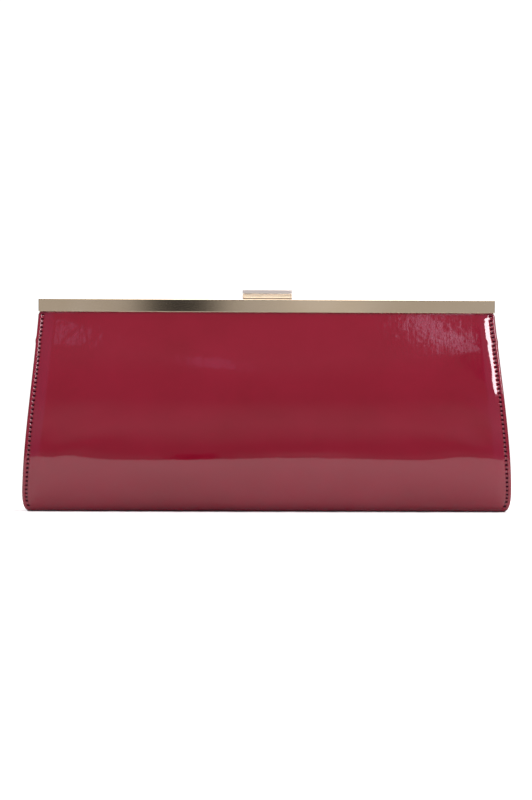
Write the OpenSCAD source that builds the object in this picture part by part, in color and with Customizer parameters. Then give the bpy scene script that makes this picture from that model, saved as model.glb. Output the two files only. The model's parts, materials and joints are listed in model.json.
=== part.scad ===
// Frame clutch purse: a stiff leather bag that hangs from a two-part hinged metal frame.
// Origin: middle of the base. +X runs along the frame, the front faces -Y and +Z is up.

/* [Bag] */
// Width of the bag at its widest, near the base
body_w = 286; // [276:1:300]
// Width of the bag just under the frame
mouth_w = 270; // [240:1:270]
// Depth of the bag at its fullest
body_d = 55; // [50:1:62]
// Height at which the bag is fullest
belly_z = 36; // [30:1:44]
// Width of the flat strip underneath
base_flat = 24; // [20:1:26]

/* [Frame] */
// Height of the frame's top face above the ground
frame_top_z = 125; // [120:1:132]
// Height of each rail's face
rail_h = 7.5; // [7:0.5:9]
// Depth of one rail, front to back
rail_d = 5.85; // [5.85:0.05:6.5]
// Thickness of the rails' sheet metal
rail_wall = 0.8; // [0.6:0.1:0.8]
// Distance from the top of the frame down to the hinge
hinge_drop = 24; // [22:1:28]

/* [Clasp] */
// Length of the clasp along the frame
clasp_w = 29; // [20:1:40]
// Height of the front bar above the rail
clasp_bar_h = 3.2; // [2.6:0.1:4]
// Thickness of the lip that comes over the front bar
clasp_lip_t = 2.4; // [1.6:0.1:3]

/* [Materials] */
// Thickness of the outer leather
leather_t = 1.2; // [0.8:0.1:1.2]
// Thickness of the foam under the leather
foam_t = 2; // [1:0.1:2]
// Thickness of the stiffening board
board_t = 1.2; // [0.8:0.1:1.2]
// Thickness of the lining cloth
lining_t = 0.6; // [0.4:0.1:0.6]

/* [Hidden] */
$fn = 48;

// Clear space between two pieces that lie against each other
gap = 0.05;
// Half of the space between the two closed rails
split = 0.15;
// Length of solid used to cut right through a piece
through = 400;

// Heights
hinge_z = frame_top_z - hinge_drop;
rail_z = frame_top_z - rail_h;
panel_top_z = hinge_z - 3;
strip_low_z = hinge_z + 3;
gusset_low_top_z = hinge_z - 6;
gusset_top_z = rail_z - 6;
stack_top_z = hinge_z - 9;
wide_z = 10;
corner_r = 6;

// Profile of the front, from the base to the frame. s runs 0 to 1 up to the belly, 1 to 2 above it.
steps = 10;
frame_half = rail_d + split - rail_wall - gap;
function low_point(s) = [
    -(base_flat / 2 + (body_d - base_flat) / 2 * sin(90 * s)),
    belly_z * (1 - cos(90 * s))
];
function high_point(s) = [
    -(frame_half + (body_d / 2 - frame_half) * sin(90 * (2 - s))),
    belly_z + (rail_z - belly_z) * (s - 1)
];
function profile(s) = s < 1 ? low_point(s) : high_point(s);
function s_at(z) = 1 + (z - belly_z) / (rail_z - belly_z);
function unit(v) = v / norm(v);
function tangent(s) = unit(profile(min(2, s + 0.002)) - profile(max(0, s - 0.002)));
function inward(s) = [tangent(s)[1], -tangent(s)[0]];
function inset(s, depth) = profile(s) + inward(s) * depth;
// Every layer bends at the same places, so that neighbouring layers stay parallel
function spread(s0, s1) = concat(
    [s0],
    [for (i = [1:steps * 2 - 1]) let (s = i / steps) if (s > s0 + 0.02 && s < s1 - 0.02) s],
    [s1]
);
function reversed(list) = [for (i = [len(list) - 1:-1:0]) list[i]];
function layer(s0, s1, outer, inner) = concat(
    [for (s = spread(s0, s1)) inset(s, outer)],
    [for (s = reversed(spread(s0, s1))) inset(s, inner)]
);

// Half width of the bag at height z, a nearly straight side that eases in at both ends
function taper(u) = 0.66 * u + 0.17 * (1 - cos(180 * u));
function half_w(z) = mouth_w / 2
    + (body_w - mouth_w) / 2 * taper(min(1, max(0, (rail_z - z) / (rail_z - wide_z))));

// How far the rounded lower corner brings the outline in at height z
function corner_inset(z) = z < corner_r ? corner_r * (1 - sqrt(1 - pow(1 - z / corner_r, 2))) : 0;

// Depths of the layers below the outer leather
foam_at = leather_t + gap;
board_at = foam_at + foam_t + gap;
lining_at = board_at + board_t + gap;
pocket_at = lining_at + lining_t + 0.2;

// Rail section
rail_in = split + rail_wall;
leather_in_rail = [-frame_half, -frame_half + leather_t];
in_rail_top_z = frame_top_z - rail_wall - 0.7;
frame_bar_t = 1.2;
frame_bar_y = [-rail_in - 2, -rail_in - 2 + frame_bar_t];
cord_r = 0.45;
rail_end_t = 0.8;
rail_corner_r = 1.2;

// Hinge: the arms lie side by side along X, the front one outside, with a washer between
arm_t = 1.2;
front_arm_x = mouth_w / 2 - 2.2;
washer_x = front_arm_x - 0.5;
washer_t = 0.4;
back_arm_x = washer_x - 0.1 - arm_t;
eyelet_r = 3.5;
rivet_r = 1.25;
rivet_play = 0.05;
rivet_head_r = 2.4;
rivet_head_t = 0.9;

// Seams
flange_w = 4.5;
gusset_t = 1;
gusset_fold = 13;

// Clasp
clasp_depth = rail_d - 0.45;
lip_clear = 0.3;
clasp_rivet_r = 0.8;
clasp_rivet_play = 0.02;
clasp_rivet_len = 2.6;
clasp_rivet_spacing = clasp_w * 0.6;

leather_red = [0.50, 0.07, 0.14];
pale_gold = [0.80, 0.70, 0.58];
steel = [0.62, 0.62, 0.64];
board_grey = [0.55, 0.52, 0.48];
foam_white = [0.90, 0.89, 0.85];
cloth_red = [0.36, 0.08, 0.12];

// Draws a [y, z] outline as a bar along X
module along_x(points, length) {
    rotate([90, 0, 90]) linear_extrude(length, center = true) polygon(points);
}

// Front outline of the bag, brought in by a margin that changes from the base to the frame
module front_outline(low_margin, top_margin) {
    heights = [for (i = [0:steps]) corner_r + (rail_z - corner_r) * i / steps];
    side = [for (z = heights) [
        half_w(z) - low_margin - (top_margin - low_margin) * z / rail_z, z
    ]];
    corner = [for (a = [0:15:75]) [
        half_w(wide_z) - low_margin - corner_r * (1 - sin(a)), corner_r * (1 - cos(a))
    ]];
    top = [[side[steps][0], frame_top_z]];
    right = concat(corner, side, top);
    left = [for (p = reversed(right)) [-p[0], p[1]]];
    rotate([90, 0, 0]) linear_extrude(through, center = true) polygon(concat(right, left));
}

// One layer of the front, between two depths below the outer surface
module front_layer(s0, s1, outer, inner, low_margin, top_margin) {
    intersection() {
        along_x(layer(s0, s1, outer, inner), through);
        front_outline(low_margin, top_margin);
    }
}

// Strip of the leather that rides with the frame and is held in the rail
module top_strip() {
    rail_gap = mouth_w / 2 - rail_end_t - 0.1;
    front_layer(s_at(strip_low_z), s_at(rail_z - 0.1), 0, leather_t, 0, 0);
    below_rail_z = rail_z - 0.6;
    translate([-rail_gap, leather_in_rail[0], below_rail_z])
        cube([rail_gap * 2, leather_t, in_rail_top_z - below_rail_z]);
}

// Strip of lining that rides with the frame, from the hinge up into the rail
module lining_strip() {
    high_y = -rail_in - 0.7;
    low_y = inset(s_at(strip_low_z), leather_t + 0.4)[0];
    along_x([
        [low_y, strip_low_z], [low_y + lining_t, strip_low_z],
        [high_y + lining_t, rail_z], [high_y + lining_t, in_rail_top_z],
        [high_y, in_rail_top_z], [high_y, rail_z]
    ], mouth_w - 20);
}

// Front half of the leather's bending zone at the hinge
module fold_strip() {
    front_layer(s_at(panel_top_z + 0.1), s_at(strip_low_z - 0.1), 0, leather_t, 0, 0);
}

// A stack of rings joined into one bent sheet. Each ring runs up one face of the sheet and back
// down the other, so the two ends close with a row of four-sided faces.
module loft(rings) {
    n = len(rings[0]);
    last = len(rings) - 1;
    sides = [for (r = [0:last - 1], k = [0:n - 1], half = [0, 1])
        half == 0
            ? [r * n + k, (r + 1) * n + k, (r + 1) * n + (k + 1) % n]
            : [r * n + k, (r + 1) * n + (k + 1) % n, r * n + (k + 1) % n]];
    bottom = [for (k = [0:n / 2 - 2]) [k, k + 1, n - 2 - k, n - 1 - k]];
    top = [for (quad = bottom) [for (k = [3:-1:0]) last * n + quad[k]]];
    polyhedron([for (ring = rings) each ring], concat(sides, bottom, top), convexity = 6);
}

// Right-hand gusset: two stitched edges along the panels and a wall folded inwards between them
function gusset_ring(s) = let (
    edge = inset(s, leather_t + gap),
    z = edge[1],
    yd = -edge[0],
    outer_x = half_w(z) - corner_inset(z) - 0.5,
    turn_x = half_w(z) - flange_w,
    fold_x = turn_x - 1 - gusset_fold * z / gusset_top_z
) [
    [outer_x, -yd + gusset_t, z], [turn_x + gusset_t, -yd + gusset_t, z],
    [fold_x + gusset_t, 0, z],
    [turn_x + gusset_t, yd - gusset_t, z], [outer_x, yd - gusset_t, z],
    [outer_x, yd, z], [turn_x, yd, z], [fold_x, 0, z], [turn_x, -yd, z], [outer_x, -yd, z]
];

module gusset(s0, s1) {
    loft([for (s = spread(s0, s1)) gusset_ring(s)]);
}

// Right-hand end of the lining, which follows the gusset inside the boards
function gusset_lining_ring(s) = let (
    edge = inset(s, lining_at),
    z = edge[1],
    yd = -edge[0],
    end_x = half_w(z) - flange_w - 2.4 - 6 * z / gusset_top_z,
    fold_x = half_w(z) - flange_w - 2.4 - gusset_fold * z / gusset_top_z
) [
    [end_x, -yd, z], [fold_x, 0, z], [end_x, yd, z],
    [end_x - lining_t, yd, z], [fold_x - lining_t, 0, z], [end_x - lining_t, -yd, z]
];

module gusset_lining() {
    loft([for (s = spread(0, s_at(stack_top_z))) gusset_lining_ring(s)]);
}

// Front half of the frame: an upside-down channel with closed ends
module rail() {
    half = mouth_w / 2;
    difference() {
        translate([0, -split, 0]) rotate([90, 0, 0]) linear_extrude(rail_d) rail_face(half);
        translate([-half + rail_end_t, -split - rail_d + rail_wall, rail_z - 1])
            cube([mouth_w - rail_end_t * 2, rail_d - rail_wall * 2, rail_h - rail_wall + 1]);
    }
}

module rail_face(half) {
    translate([-half, rail_z]) square([half * 2, rail_h - rail_corner_r]);
    translate([-half + rail_corner_r, rail_z]) square([(half - rail_corner_r) * 2, rail_h]);
    for (side = [-1, 1])
        translate([side * (half - rail_corner_r), frame_top_z - rail_corner_r]) circle(rail_corner_r);
}

// Holes for the two clasp rivets, or the rivets' own shanks, at a distance from the split
module clasp_shanks(r, y, z0, length) {
    for (side = [-1, 1])
        translate([side * clasp_rivet_spacing / 2, y, z0]) cylinder(h = length, r = r);
}

front_rivet_y = -split - rail_d / 2;
shank_hole_r = clasp_rivet_r + clasp_rivet_play;

module rail_with_holes() {
    difference() {
        rail();
        clasp_shanks(shank_hole_r, front_rivet_y, frame_top_z - rail_wall - 1, 3);
    }
}

// Steel strip inside the front rail, with an arm down to the hinge at each end
module inner_frame(arm_x) {
    translate([-arm_x - arm_t, frame_bar_y[0], rail_z + 1])
        cube([(arm_x + arm_t) * 2, frame_bar_t, rail_h - rail_wall - 2.4]);
    for (side = [-1, 1])
        translate([side * (arm_x + arm_t / 2), 0, 0]) arm();
}

module arm() {
    top_z = frame_top_z - rail_wall - 1.4;
    back_y = frame_bar_y[1];
    front_y = leather_in_rail[1] + 0.1;
    difference() {
        union() {
            along_x([
                [front_y, top_z], [back_y, top_z], [back_y, rail_z],
                [3.2, hinge_z + 1.2], [-3.3, hinge_z - 0.8], [front_y, hinge_z + 7]
            ], arm_t);
            translate([0, 0, hinge_z]) rotate([0, 90, 0])
                cylinder(h = arm_t, r = eyelet_r, center = true);
        }
        translate([0, 0, hinge_z]) rotate([0, 90, 0])
            cylinder(h = through, r = rivet_r + rivet_play, center = true);
    }
}

// Paper cord that wedges the leather into the front rail
module crimp_cord() {
    y = (leather_in_rail[1] + frame_bar_y[0]) / 2;
    translate([0, y, rail_z + 3]) rotate([0, 90, 0])
        cylinder(h = mouth_w - 10, r = cord_r, center = true);
}

// Right-hand rivet, which both arms turn on
module hinge_rivet() {
    inner_x = back_arm_x - 0.1 - rivet_head_t;
    outer_x = front_arm_x + arm_t + 0.1;
    translate([inner_x, 0, hinge_z]) rotate([0, 90, 0]) {
        cylinder(h = rivet_head_t, r = rivet_head_r);
        cylinder(h = outer_x - inner_x + rivet_head_t, r = rivet_r);
        translate([0, 0, outer_x - inner_x]) cylinder(h = rivet_head_t, r = rivet_head_r);
    }
}

module hinge_washer() {
    translate([washer_x, 0, hinge_z]) rotate([0, 90, 0]) difference() {
        cylinder(h = washer_t, r = eyelet_r - 0.4);
        translate([0, 0, -1]) cylinder(h = washer_t + 2, r = rivet_r + rivet_play);
    }
}

// Mirrors a front piece to the back, or a right-hand piece to the left
module at_back() {
    mirror([0, 1, 0]) children();
}
module at_left() {
    mirror([1, 0, 0]) children();
}

// Outer leather
module front_panel() {
    color(leather_red) front_layer(0, s_at(panel_top_z), 0, leather_t, 0, 0);
}
module front_panel_fold() {
    color(leather_red) fold_strip();
}
module front_panel_top() {
    color(leather_red) top_strip();
}
module back_panel() {
    color(leather_red) at_back() front_layer(0, s_at(panel_top_z), 0, leather_t, 0, 0);
}
module back_panel_fold() {
    color(leather_red) at_back() fold_strip();
}
module back_panel_top() {
    color(leather_red) at_back() top_strip();
}
module base_panel() {
    color(leather_red) intersection() {
        translate([0, 0, leather_t / 2]) cube([body_w, base_flat - gap * 2, leather_t], center = true);
        front_outline(0, 0);
    }
}
module gusset_right() {
    color(leather_red) gusset(0, s_at(gusset_low_top_z));
}
module gusset_left() {
    color(leather_red) at_left() gusset(0, s_at(gusset_low_top_z));
}
module gusset_top_right() {
    color(leather_red) gusset(s_at(gusset_low_top_z + 0.1), s_at(gusset_top_z));
}
module gusset_top_left() {
    color(leather_red) at_left() gusset(s_at(gusset_low_top_z + 0.1), s_at(gusset_top_z));
}

// Stiffening and padding
module front_padding() {
    color(foam_white) front_layer(0, s_at(stack_top_z), foam_at, foam_at + foam_t, 7, 14);
}
module back_padding() {
    color(foam_white) at_back() front_layer(0, s_at(stack_top_z), foam_at, foam_at + foam_t, 7, 14);
}
module front_board() {
    color(board_grey) front_layer(0, s_at(stack_top_z), board_at, board_at + board_t, 7, 14);
}
module back_board() {
    color(board_grey) at_back() front_layer(0, s_at(stack_top_z), board_at, board_at + board_t, 7, 14);
}
module base_board() {
    board_h = lining_at - gap - foam_at;
    color(board_grey) translate([0, 0, foam_at + board_h / 2])
        cube([body_w - 2 * 16, base_flat - gap * 2, board_h], center = true);
}

// Lining
module front_lining() {
    color(cloth_red) front_layer(0, s_at(stack_top_z), lining_at, lining_at + lining_t, 9, 16);
}
module back_lining() {
    color(cloth_red) at_back() front_layer(0, s_at(stack_top_z), lining_at, lining_at + lining_t, 9, 16);
}
module front_lining_top() {
    color(cloth_red) lining_strip();
}
module back_lining_top() {
    color(cloth_red) at_back() lining_strip();
}
module base_lining() {
    color(cloth_red) translate([0, 0, lining_at + lining_t / 2])
        cube([body_w - 2 * 16, base_flat - gap * 2, lining_t], center = true);
}
module gusset_lining_right() {
    color(cloth_red) gusset_lining();
}
module gusset_lining_left() {
    color(cloth_red) at_left() gusset_lining();
}
module slip_pocket() {
    pocket_w = 110;
    pocket_z = [22, 78];
    color(cloth_red) at_back() intersection() {
        along_x(layer(0.5, s_at(pocket_z[1]), pocket_at, pocket_at + lining_t), pocket_w);
        translate([-through / 2, -through / 2, pocket_z[0]]) cube([through, through, pocket_z[1]]);
    }
}

// Frame
module front_rail() {
    color(pale_gold) rail_with_holes();
}
module back_rail() {
    color(pale_gold) at_back() rail_with_holes();
}
module front_inner_frame() {
    color(steel) inner_frame(front_arm_x);
}
module back_inner_frame() {
    color(steel) at_back() inner_frame(back_arm_x);
}
module front_crimp_cord() {
    color(board_grey) crimp_cord();
}
module back_crimp_cord() {
    color(board_grey) at_back() crimp_cord();
}
module hinge_rivet_right() {
    color(pale_gold) hinge_rivet();
}
module hinge_rivet_left() {
    color(pale_gold) at_left() hinge_rivet();
}
module hinge_washer_right() {
    color(steel) hinge_washer();
}
module hinge_washer_left() {
    color(steel) at_left() hinge_washer();
}

// Clasp: a bar on the front rail, and a hook on the back rail whose lip comes over it
module clasp_front_bar() {
    front_y = -split - clasp_depth;
    step = 0.4;
    foot_h = 0.7;
    color(pale_gold) difference() {
        union() {
            translate([-clasp_w / 2 + step, front_y + step, frame_top_z])
                cube([clasp_w - step * 2, clasp_depth - step - 0.2, clasp_bar_h]);
            translate([-clasp_w / 2, front_y, frame_top_z + foot_h])
                cube([clasp_w, clasp_depth - 0.2, clasp_bar_h - foot_h]);
        }
        clasp_shanks(shank_hole_r, front_rivet_y, frame_top_z - 1, clasp_rivet_len);
    }
}
module clasp_back_hook() {
    wall_t = 1.6;
    foot_h = 2;
    lip_z = frame_top_z + clasp_bar_h + lip_clear;
    lip_r = clasp_lip_t / 2;
    front_y = -split - clasp_depth;
    color(pale_gold) difference() {
        translate([-clasp_w / 2, 0, 0]) rotate([90, 0, 90]) linear_extrude(clasp_w) {
            translate([split + 0.2, frame_top_z]) square([clasp_depth - 0.4, foot_h]);
            translate([split + 0.2, frame_top_z]) square([wall_t, lip_z + lip_r - frame_top_z]);
            translate([front_y + lip_r, lip_z])
                square([split + 0.2 + wall_t - front_y - lip_r * 2, clasp_lip_t]);
            for (y = [front_y + lip_r, split + 0.2 + wall_t - lip_r])
                translate([y, lip_z + lip_r]) circle(lip_r);
        }
        clasp_shanks(shank_hole_r, -front_rivet_y, frame_top_z - 1, clasp_rivet_len);
    }
}
module clasp_front_rivets() {
    color(steel) rivets();
}
module clasp_back_rivets() {
    color(steel) at_back() rivets();
}
module rivets() {
    clasp_shanks(clasp_rivet_r, front_rivet_y, frame_top_z - rail_wall - gap, clasp_rivet_len - 0.4);
    clasp_shanks(clasp_rivet_r + 0.5, front_rivet_y, frame_top_z - rail_wall - gap - 0.5, 0.5);
}

front_panel();
front_panel_fold();
front_panel_top();
back_panel();
back_panel_fold();
back_panel_top();
base_panel();
gusset_left();
gusset_right();
gusset_top_left();
gusset_top_right();
front_padding();
back_padding();
front_board();
back_board();
base_board();
front_lining();
back_lining();
front_lining_top();
back_lining_top();
base_lining();
gusset_lining_left();
gusset_lining_right();
slip_pocket();
front_rail();
back_rail();
front_inner_frame();
back_inner_frame();
front_crimp_cord();
back_crimp_cord();
hinge_rivet_left();
hinge_rivet_right();
hinge_washer_left();
hinge_washer_right();
clasp_front_bar();
clasp_back_hook();
clasp_front_rivets();
clasp_back_rivets();
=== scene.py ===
"""The looks of a frame clutch purse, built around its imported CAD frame.

The leather, gussets, lining and padding are surfaces worked out with numpy from one side profile. The
rails, clasp and rivets are swept or turned shapes. Everything is in metres, in the CAD frame: +X along the
metal frame, the front faces -Y and +Z is up.
"""

import json
import logging
import math
from dataclasses import dataclass, field
from enum import Enum
from typing import Any, Sequence

import bmesh
import bpy
import numpy as np
from mathutils import Matrix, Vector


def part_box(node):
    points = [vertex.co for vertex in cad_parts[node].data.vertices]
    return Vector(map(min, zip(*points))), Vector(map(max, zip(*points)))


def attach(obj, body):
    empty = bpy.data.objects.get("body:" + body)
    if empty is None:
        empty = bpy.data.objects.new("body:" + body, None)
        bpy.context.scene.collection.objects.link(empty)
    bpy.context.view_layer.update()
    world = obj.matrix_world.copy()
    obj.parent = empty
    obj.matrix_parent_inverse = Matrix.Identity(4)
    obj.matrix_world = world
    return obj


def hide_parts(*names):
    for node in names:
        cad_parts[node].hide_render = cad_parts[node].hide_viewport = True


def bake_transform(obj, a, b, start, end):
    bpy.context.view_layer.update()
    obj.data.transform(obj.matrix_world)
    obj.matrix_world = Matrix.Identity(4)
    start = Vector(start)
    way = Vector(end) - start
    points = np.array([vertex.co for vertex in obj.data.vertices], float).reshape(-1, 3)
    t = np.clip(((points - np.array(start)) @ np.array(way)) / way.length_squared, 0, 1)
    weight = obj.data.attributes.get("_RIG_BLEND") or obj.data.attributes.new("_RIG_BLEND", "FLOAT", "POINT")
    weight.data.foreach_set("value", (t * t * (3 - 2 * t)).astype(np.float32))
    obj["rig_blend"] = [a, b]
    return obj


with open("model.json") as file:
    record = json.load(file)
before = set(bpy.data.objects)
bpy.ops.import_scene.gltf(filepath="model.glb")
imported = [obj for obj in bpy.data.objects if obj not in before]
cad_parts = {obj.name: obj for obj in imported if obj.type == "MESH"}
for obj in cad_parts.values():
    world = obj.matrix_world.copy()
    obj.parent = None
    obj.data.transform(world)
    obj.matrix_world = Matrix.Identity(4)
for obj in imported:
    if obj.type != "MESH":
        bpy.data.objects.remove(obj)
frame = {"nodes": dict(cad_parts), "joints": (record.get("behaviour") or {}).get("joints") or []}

MM = 0.001
# How far the lip of each rail is squeezed in over the leather
CRIMP = 0.6 * MM
# Points used to measure a curve's length
FINE_STEPS = 2000
# Points nearer together than this are one, and edges that turn more than this are hard
SAME_POINT = 1e-7
HARD_EDGE = math.radians(50)
MATH = "ShaderNodeMath"
NOISE = "ShaderNodeTexNoise"
LOG = logging.getLogger("clutch")
Array = np.ndarray


class Face(Enum):
    """Which face of the bag a piece belongs to; the value is the sign of its Y."""

    FRONT = -1
    BACK = 1

    @property
    def body(self) -> str:
        """The body of the frame half on this face."""
        return f"{self.name.lower()}_frame"

    @property
    def word(self) -> str:
        """The face's name as the CAD nodes spell it."""
        return self.name.lower()


class End(Enum):
    """Which end of the bag a piece belongs to; the value is the sign of its X."""

    LEFT = -1
    RIGHT = 1

    @property
    def word(self) -> str:
        """The end's name as the CAD nodes spell it."""
        return self.name.lower()


class Slot(Enum):
    """The record's material slots."""

    LEATHER = "patent_leather"
    GOLD = "pale_gold"
    STEEL = "frame_steel"
    BOARD = "greyboard"
    FOAM = "foam"
    LINING = "lining_cloth"
    PAPER = "paper_cord"


# ------------------------------------------------------------------------------
# Small mathematical helpers
# ------------------------------------------------------------------------------


def smooth(value: Array, low: float, high: float) -> Array:
    """A step that eases from 0 to 1.

    Args:
        value: where to work it out.
        low: value at which the step leaves 0.
        high: value at which it reaches 1.

    Returns:
        t * t * (3 - 2 t), with t the clipped share of the way from low to high.
    """
    share = np.clip((np.asarray(value, float) - low) / (high - low), 0.0, 1.0)
    return share * share * (3.0 - 2.0 * share)


def bell(value: Array, centre: float, width: float) -> Array:
    """A bell curve of height 1: exp(-((value - centre) / width) ** 2)."""
    return np.exp(-(((value - centre) / width) ** 2))


def unit(vectors: Array) -> Array:
    """The vectors divided by their own lengths."""
    return vectors / np.linalg.norm(vectors, axis=-1, keepdims=True)


def travelled(y: Array, z: Array) -> Array:
    """How far along a line of points each one is, from 0 at the first."""
    return np.concatenate([[0], np.cumsum(np.hypot(np.diff(y), np.diff(z)))])


def arc(centre: Sequence[float], radius: float, start: float, stop: float, count: int) -> Array:
    """Points on a circular arc.

    Args:
        centre: the arc's centre, two numbers.
        radius: its radius.
        start: first angle in degrees, counted from the first axis towards the second.
        stop: last angle in degrees.
        count: how many points.

    Returns:
        centre + radius * (cos a, sin a) for evenly spaced angles, one row each.
    """
    angle = np.radians(np.linspace(start, stop, count))
    return np.stack([centre[0] + radius * np.cos(angle), centre[1] + radius * np.sin(angle)], axis=1)


# ------------------------------------------------------------------------------
# Meshes
# ------------------------------------------------------------------------------


def make_object(name: str, points: Array, faces: Array) -> bpy.types.Object:
    """Puts arrays into a smooth-shaded mesh object at the origin.

    Args:
        name: the piece's name.
        points: one row of x, y, z for each vertex.
        faces: one row of four vertex numbers for each face.

    Returns:
        The new object, linked to the scene.
    """
    mesh = bpy.data.meshes.new(name)
    sides = faces.shape[1]
    mesh.vertices.add(len(points))
    mesh.vertices.foreach_set("co", np.ascontiguousarray(points, np.float32).ravel())
    mesh.loops.add(faces.size)
    mesh.loops.foreach_set("vertex_index", np.ascontiguousarray(faces, np.int32).ravel())
    mesh.polygons.add(len(faces))
    mesh.polygons.foreach_set("loop_start", np.arange(0, faces.size, sides, dtype=np.int32))
    mesh.polygons.foreach_set("use_smooth", np.ones(len(faces), bool))
    mesh.update(calc_edges=True)
    made = bpy.data.objects.new(name, mesh)
    bpy.context.scene.collection.objects.link(made)
    return made


def grid_faces(rows: int, columns: int, wrap: bool = False, flip: bool = False) -> Array:
    """Four-sided faces that join neighbouring points of a grid.

    Args:
        rows: number of rows of points.
        columns: number of points in a row.
        wrap: True joins each row's last point to its first.
        flip: True turns the faces round.

    Returns:
        One row of four vertex numbers for each face.
    """
    last = columns if wrap else columns - 1
    row, column = np.meshgrid(np.arange(rows - 1), np.arange(last), indexing="ij")
    after = (column + 1) % columns
    corners = [row * columns + column, row * columns + after]
    corners += [(row + 1) * columns + after, (row + 1) * columns + column]
    faces = np.stack([c.ravel() for c in corners], axis=1)
    return faces[:, ::-1] if flip else faces


def sheet_object(name: str, points: Array, flip: bool) -> bpy.types.Object:
    """An open sheet from a grid of points with shape (rows, columns, 3)."""
    rows, columns = points.shape[:2]
    return make_object(name, points.reshape(-1, 3), grid_faces(rows, columns, flip=flip))


def closed_object(name: str, grids: Sequence[Array]) -> bpy.types.Object:
    """One mesh of tubes, each closed at its two ends.

    Args:
        name: the piece's name.
        grids: for each tube, points with shape (rows, around, 3).

    Returns:
        The object, with doubles merged, faces turned outwards and hard edges left sharp.
    """
    points, faces, start = [], [], 0
    for grid in grids:
        rows, around = grid.shape[:2]
        faces.append(grid_faces(rows, around, wrap=True) + start)
        points.append(grid.reshape(-1, 3))
        start += rows * around
    made = make_object(name, np.concatenate(points), np.concatenate(faces))
    work = bmesh.new()
    work.from_mesh(made.data)
    bmesh.ops.remove_doubles(work, verts=work.verts, dist=SAME_POINT)
    bmesh.ops.holes_fill(work, edges=[edge for edge in work.edges if edge.is_boundary], sides=0)
    bmesh.ops.recalc_face_normals(work, faces=work.faces)
    work.to_mesh(made.data)
    work.free()
    made.data.set_sharp_from_angle(angle=HARD_EDGE)
    return made


def thicken(piece: bpy.types.Object, thickness: float) -> None:
    """Gives a sheet its thickness on the side that its faces turn away from.

    Args:
        piece: the sheet.
        thickness: how thick it becomes.
    """
    wall = piece.modifiers.new("thickness", "SOLIDIFY")
    wall.thickness = thickness
    wall.offset = -1.0
    wall.use_even_offset = False


def filled(outline: Array, longest: float = 1.2 * MM, extra: int = 3) -> Array:
    """Adds points along an outline's long straight stretches, so that shading stays flat there.

    Args:
        outline: points in order, one row each.
        longest: a stretch shorter than this stays as it is.
        extra: how many points are added for each time that a stretch holds that length.

    Returns:
        The outline's own points and the new ones, in order.
    """
    parts = []
    for start, stop in zip(outline[:-1], outline[1:]):
        count = 1 + extra * int(np.linalg.norm(stop - start) / longest)
        share = np.linspace(0, 1, count, endpoint=False)[:, None]
        parts.append(start + (stop - start) * share)
    return np.concatenate([*parts, outline[-1:]])


def rounded_bar(section: Array, x_low: float, x_high: float, radius: float, steps: int = 5) -> Array:
    """A bar along X whose two ends are rounded over.

    The section is carried from x_low to x_high. Within radius of an end it shrinks towards its own middle as
    a quarter circle does, and the last row is the middle itself, so the end closes.

    Args:
        section: points (y, z) round the bar.
        x_low: where the bar starts.
        x_high: where it ends.
        radius: how far the ends are rounded.
        steps: rows in each rounded end.

    Returns:
        Points with shape (rows, around, 3).
    """
    middle = (section.min(axis=0) + section.max(axis=0)) / 2
    reach = (section.max(axis=0) - section.min(axis=0)) / 2
    turn = np.radians(np.linspace(0.0, 90.0, steps))
    inset = np.append(radius * (1 - np.sin(turn)), 0.0)
    # One row just past the rounding keeps the shading of the straight part flat
    past_rounding = 1.1
    low_x = x_low + radius * np.append(1 - np.cos(turn), past_rounding)
    x_rows = np.concatenate([[x_low], low_x, (x_low + x_high - low_x)[::-1], [x_high]])
    insets = np.concatenate([[reach.max()], inset, inset[::-1], [reach.max()]])
    shrink = np.clip(1 - insets[:, None] / reach[None, :], 0.0, 1.0)
    shrink[[0, -1]] = 0.0
    ring = middle + (section - middle)[None] * shrink[:, None, :]
    x_column = np.broadcast_to(x_rows[:, None, None], (*ring.shape[:2], 1))
    return np.concatenate([x_column, ring], axis=2)


def turned(profile: Array, centre: Sequence[float], direction: float, around: int = 32) -> Array:
    """A turned shape about an axis along X.

    Each profile point (x, r) goes round the axis: (centre x + direction * x, r cos a, r sin a).

    Args:
        profile: rows of distance along the axis and radius; it starts and ends at radius 0.
        centre: point on the axis.
        direction: 1 if the shape points to +X, or -1.
        around: points round the axis.

    Returns:
        Points with shape (rows, around, 3).
    """
    angle = np.linspace(0.0, 2 * math.pi, around, endpoint=False)
    x = np.broadcast_to(centre[0] + direction * profile[:, :1], (len(profile), around))
    y = centre[1] + profile[:, 1:2] * np.cos(angle)
    z = centre[2] + profile[:, 1:2] * np.sin(angle)
    return np.stack([x, y, z], axis=2)


# ------------------------------------------------------------------------------
# Finishes
# ------------------------------------------------------------------------------


def linear(colour: str) -> tuple[float, float, float, float]:
    """Turns an sRGB colour to linear light by the curve of the sRGB standard.

    Args:
        colour: a hex value such as "#7f1d2d".

    Returns:
        Red, green, blue and an alpha of 1.
    """
    values = np.array([int(colour[i : i + 2], 16) for i in (1, 3, 5)]) / 255
    low = values / 12.92
    high = ((values + 0.055) / 1.055) ** 2.4
    return (*(float(v) for v in np.where(values <= 0.04045, low, high)), 1.0)


def feed(tree: bpy.types.NodeTree, node: bpy.types.Node, sockets: dict[Any, Any]) -> None:
    """Sets or links a node's inputs.

    Args:
        tree: the node tree.
        node: the node.
        sockets: for each input, by name or number, a value or the output socket that feeds it.
    """
    for key, value in sockets.items():
        if isinstance(value, bpy.types.NodeSocket):
            tree.links.new(value, node.inputs[key])
        else:
            node.inputs[key].default_value = value


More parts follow.
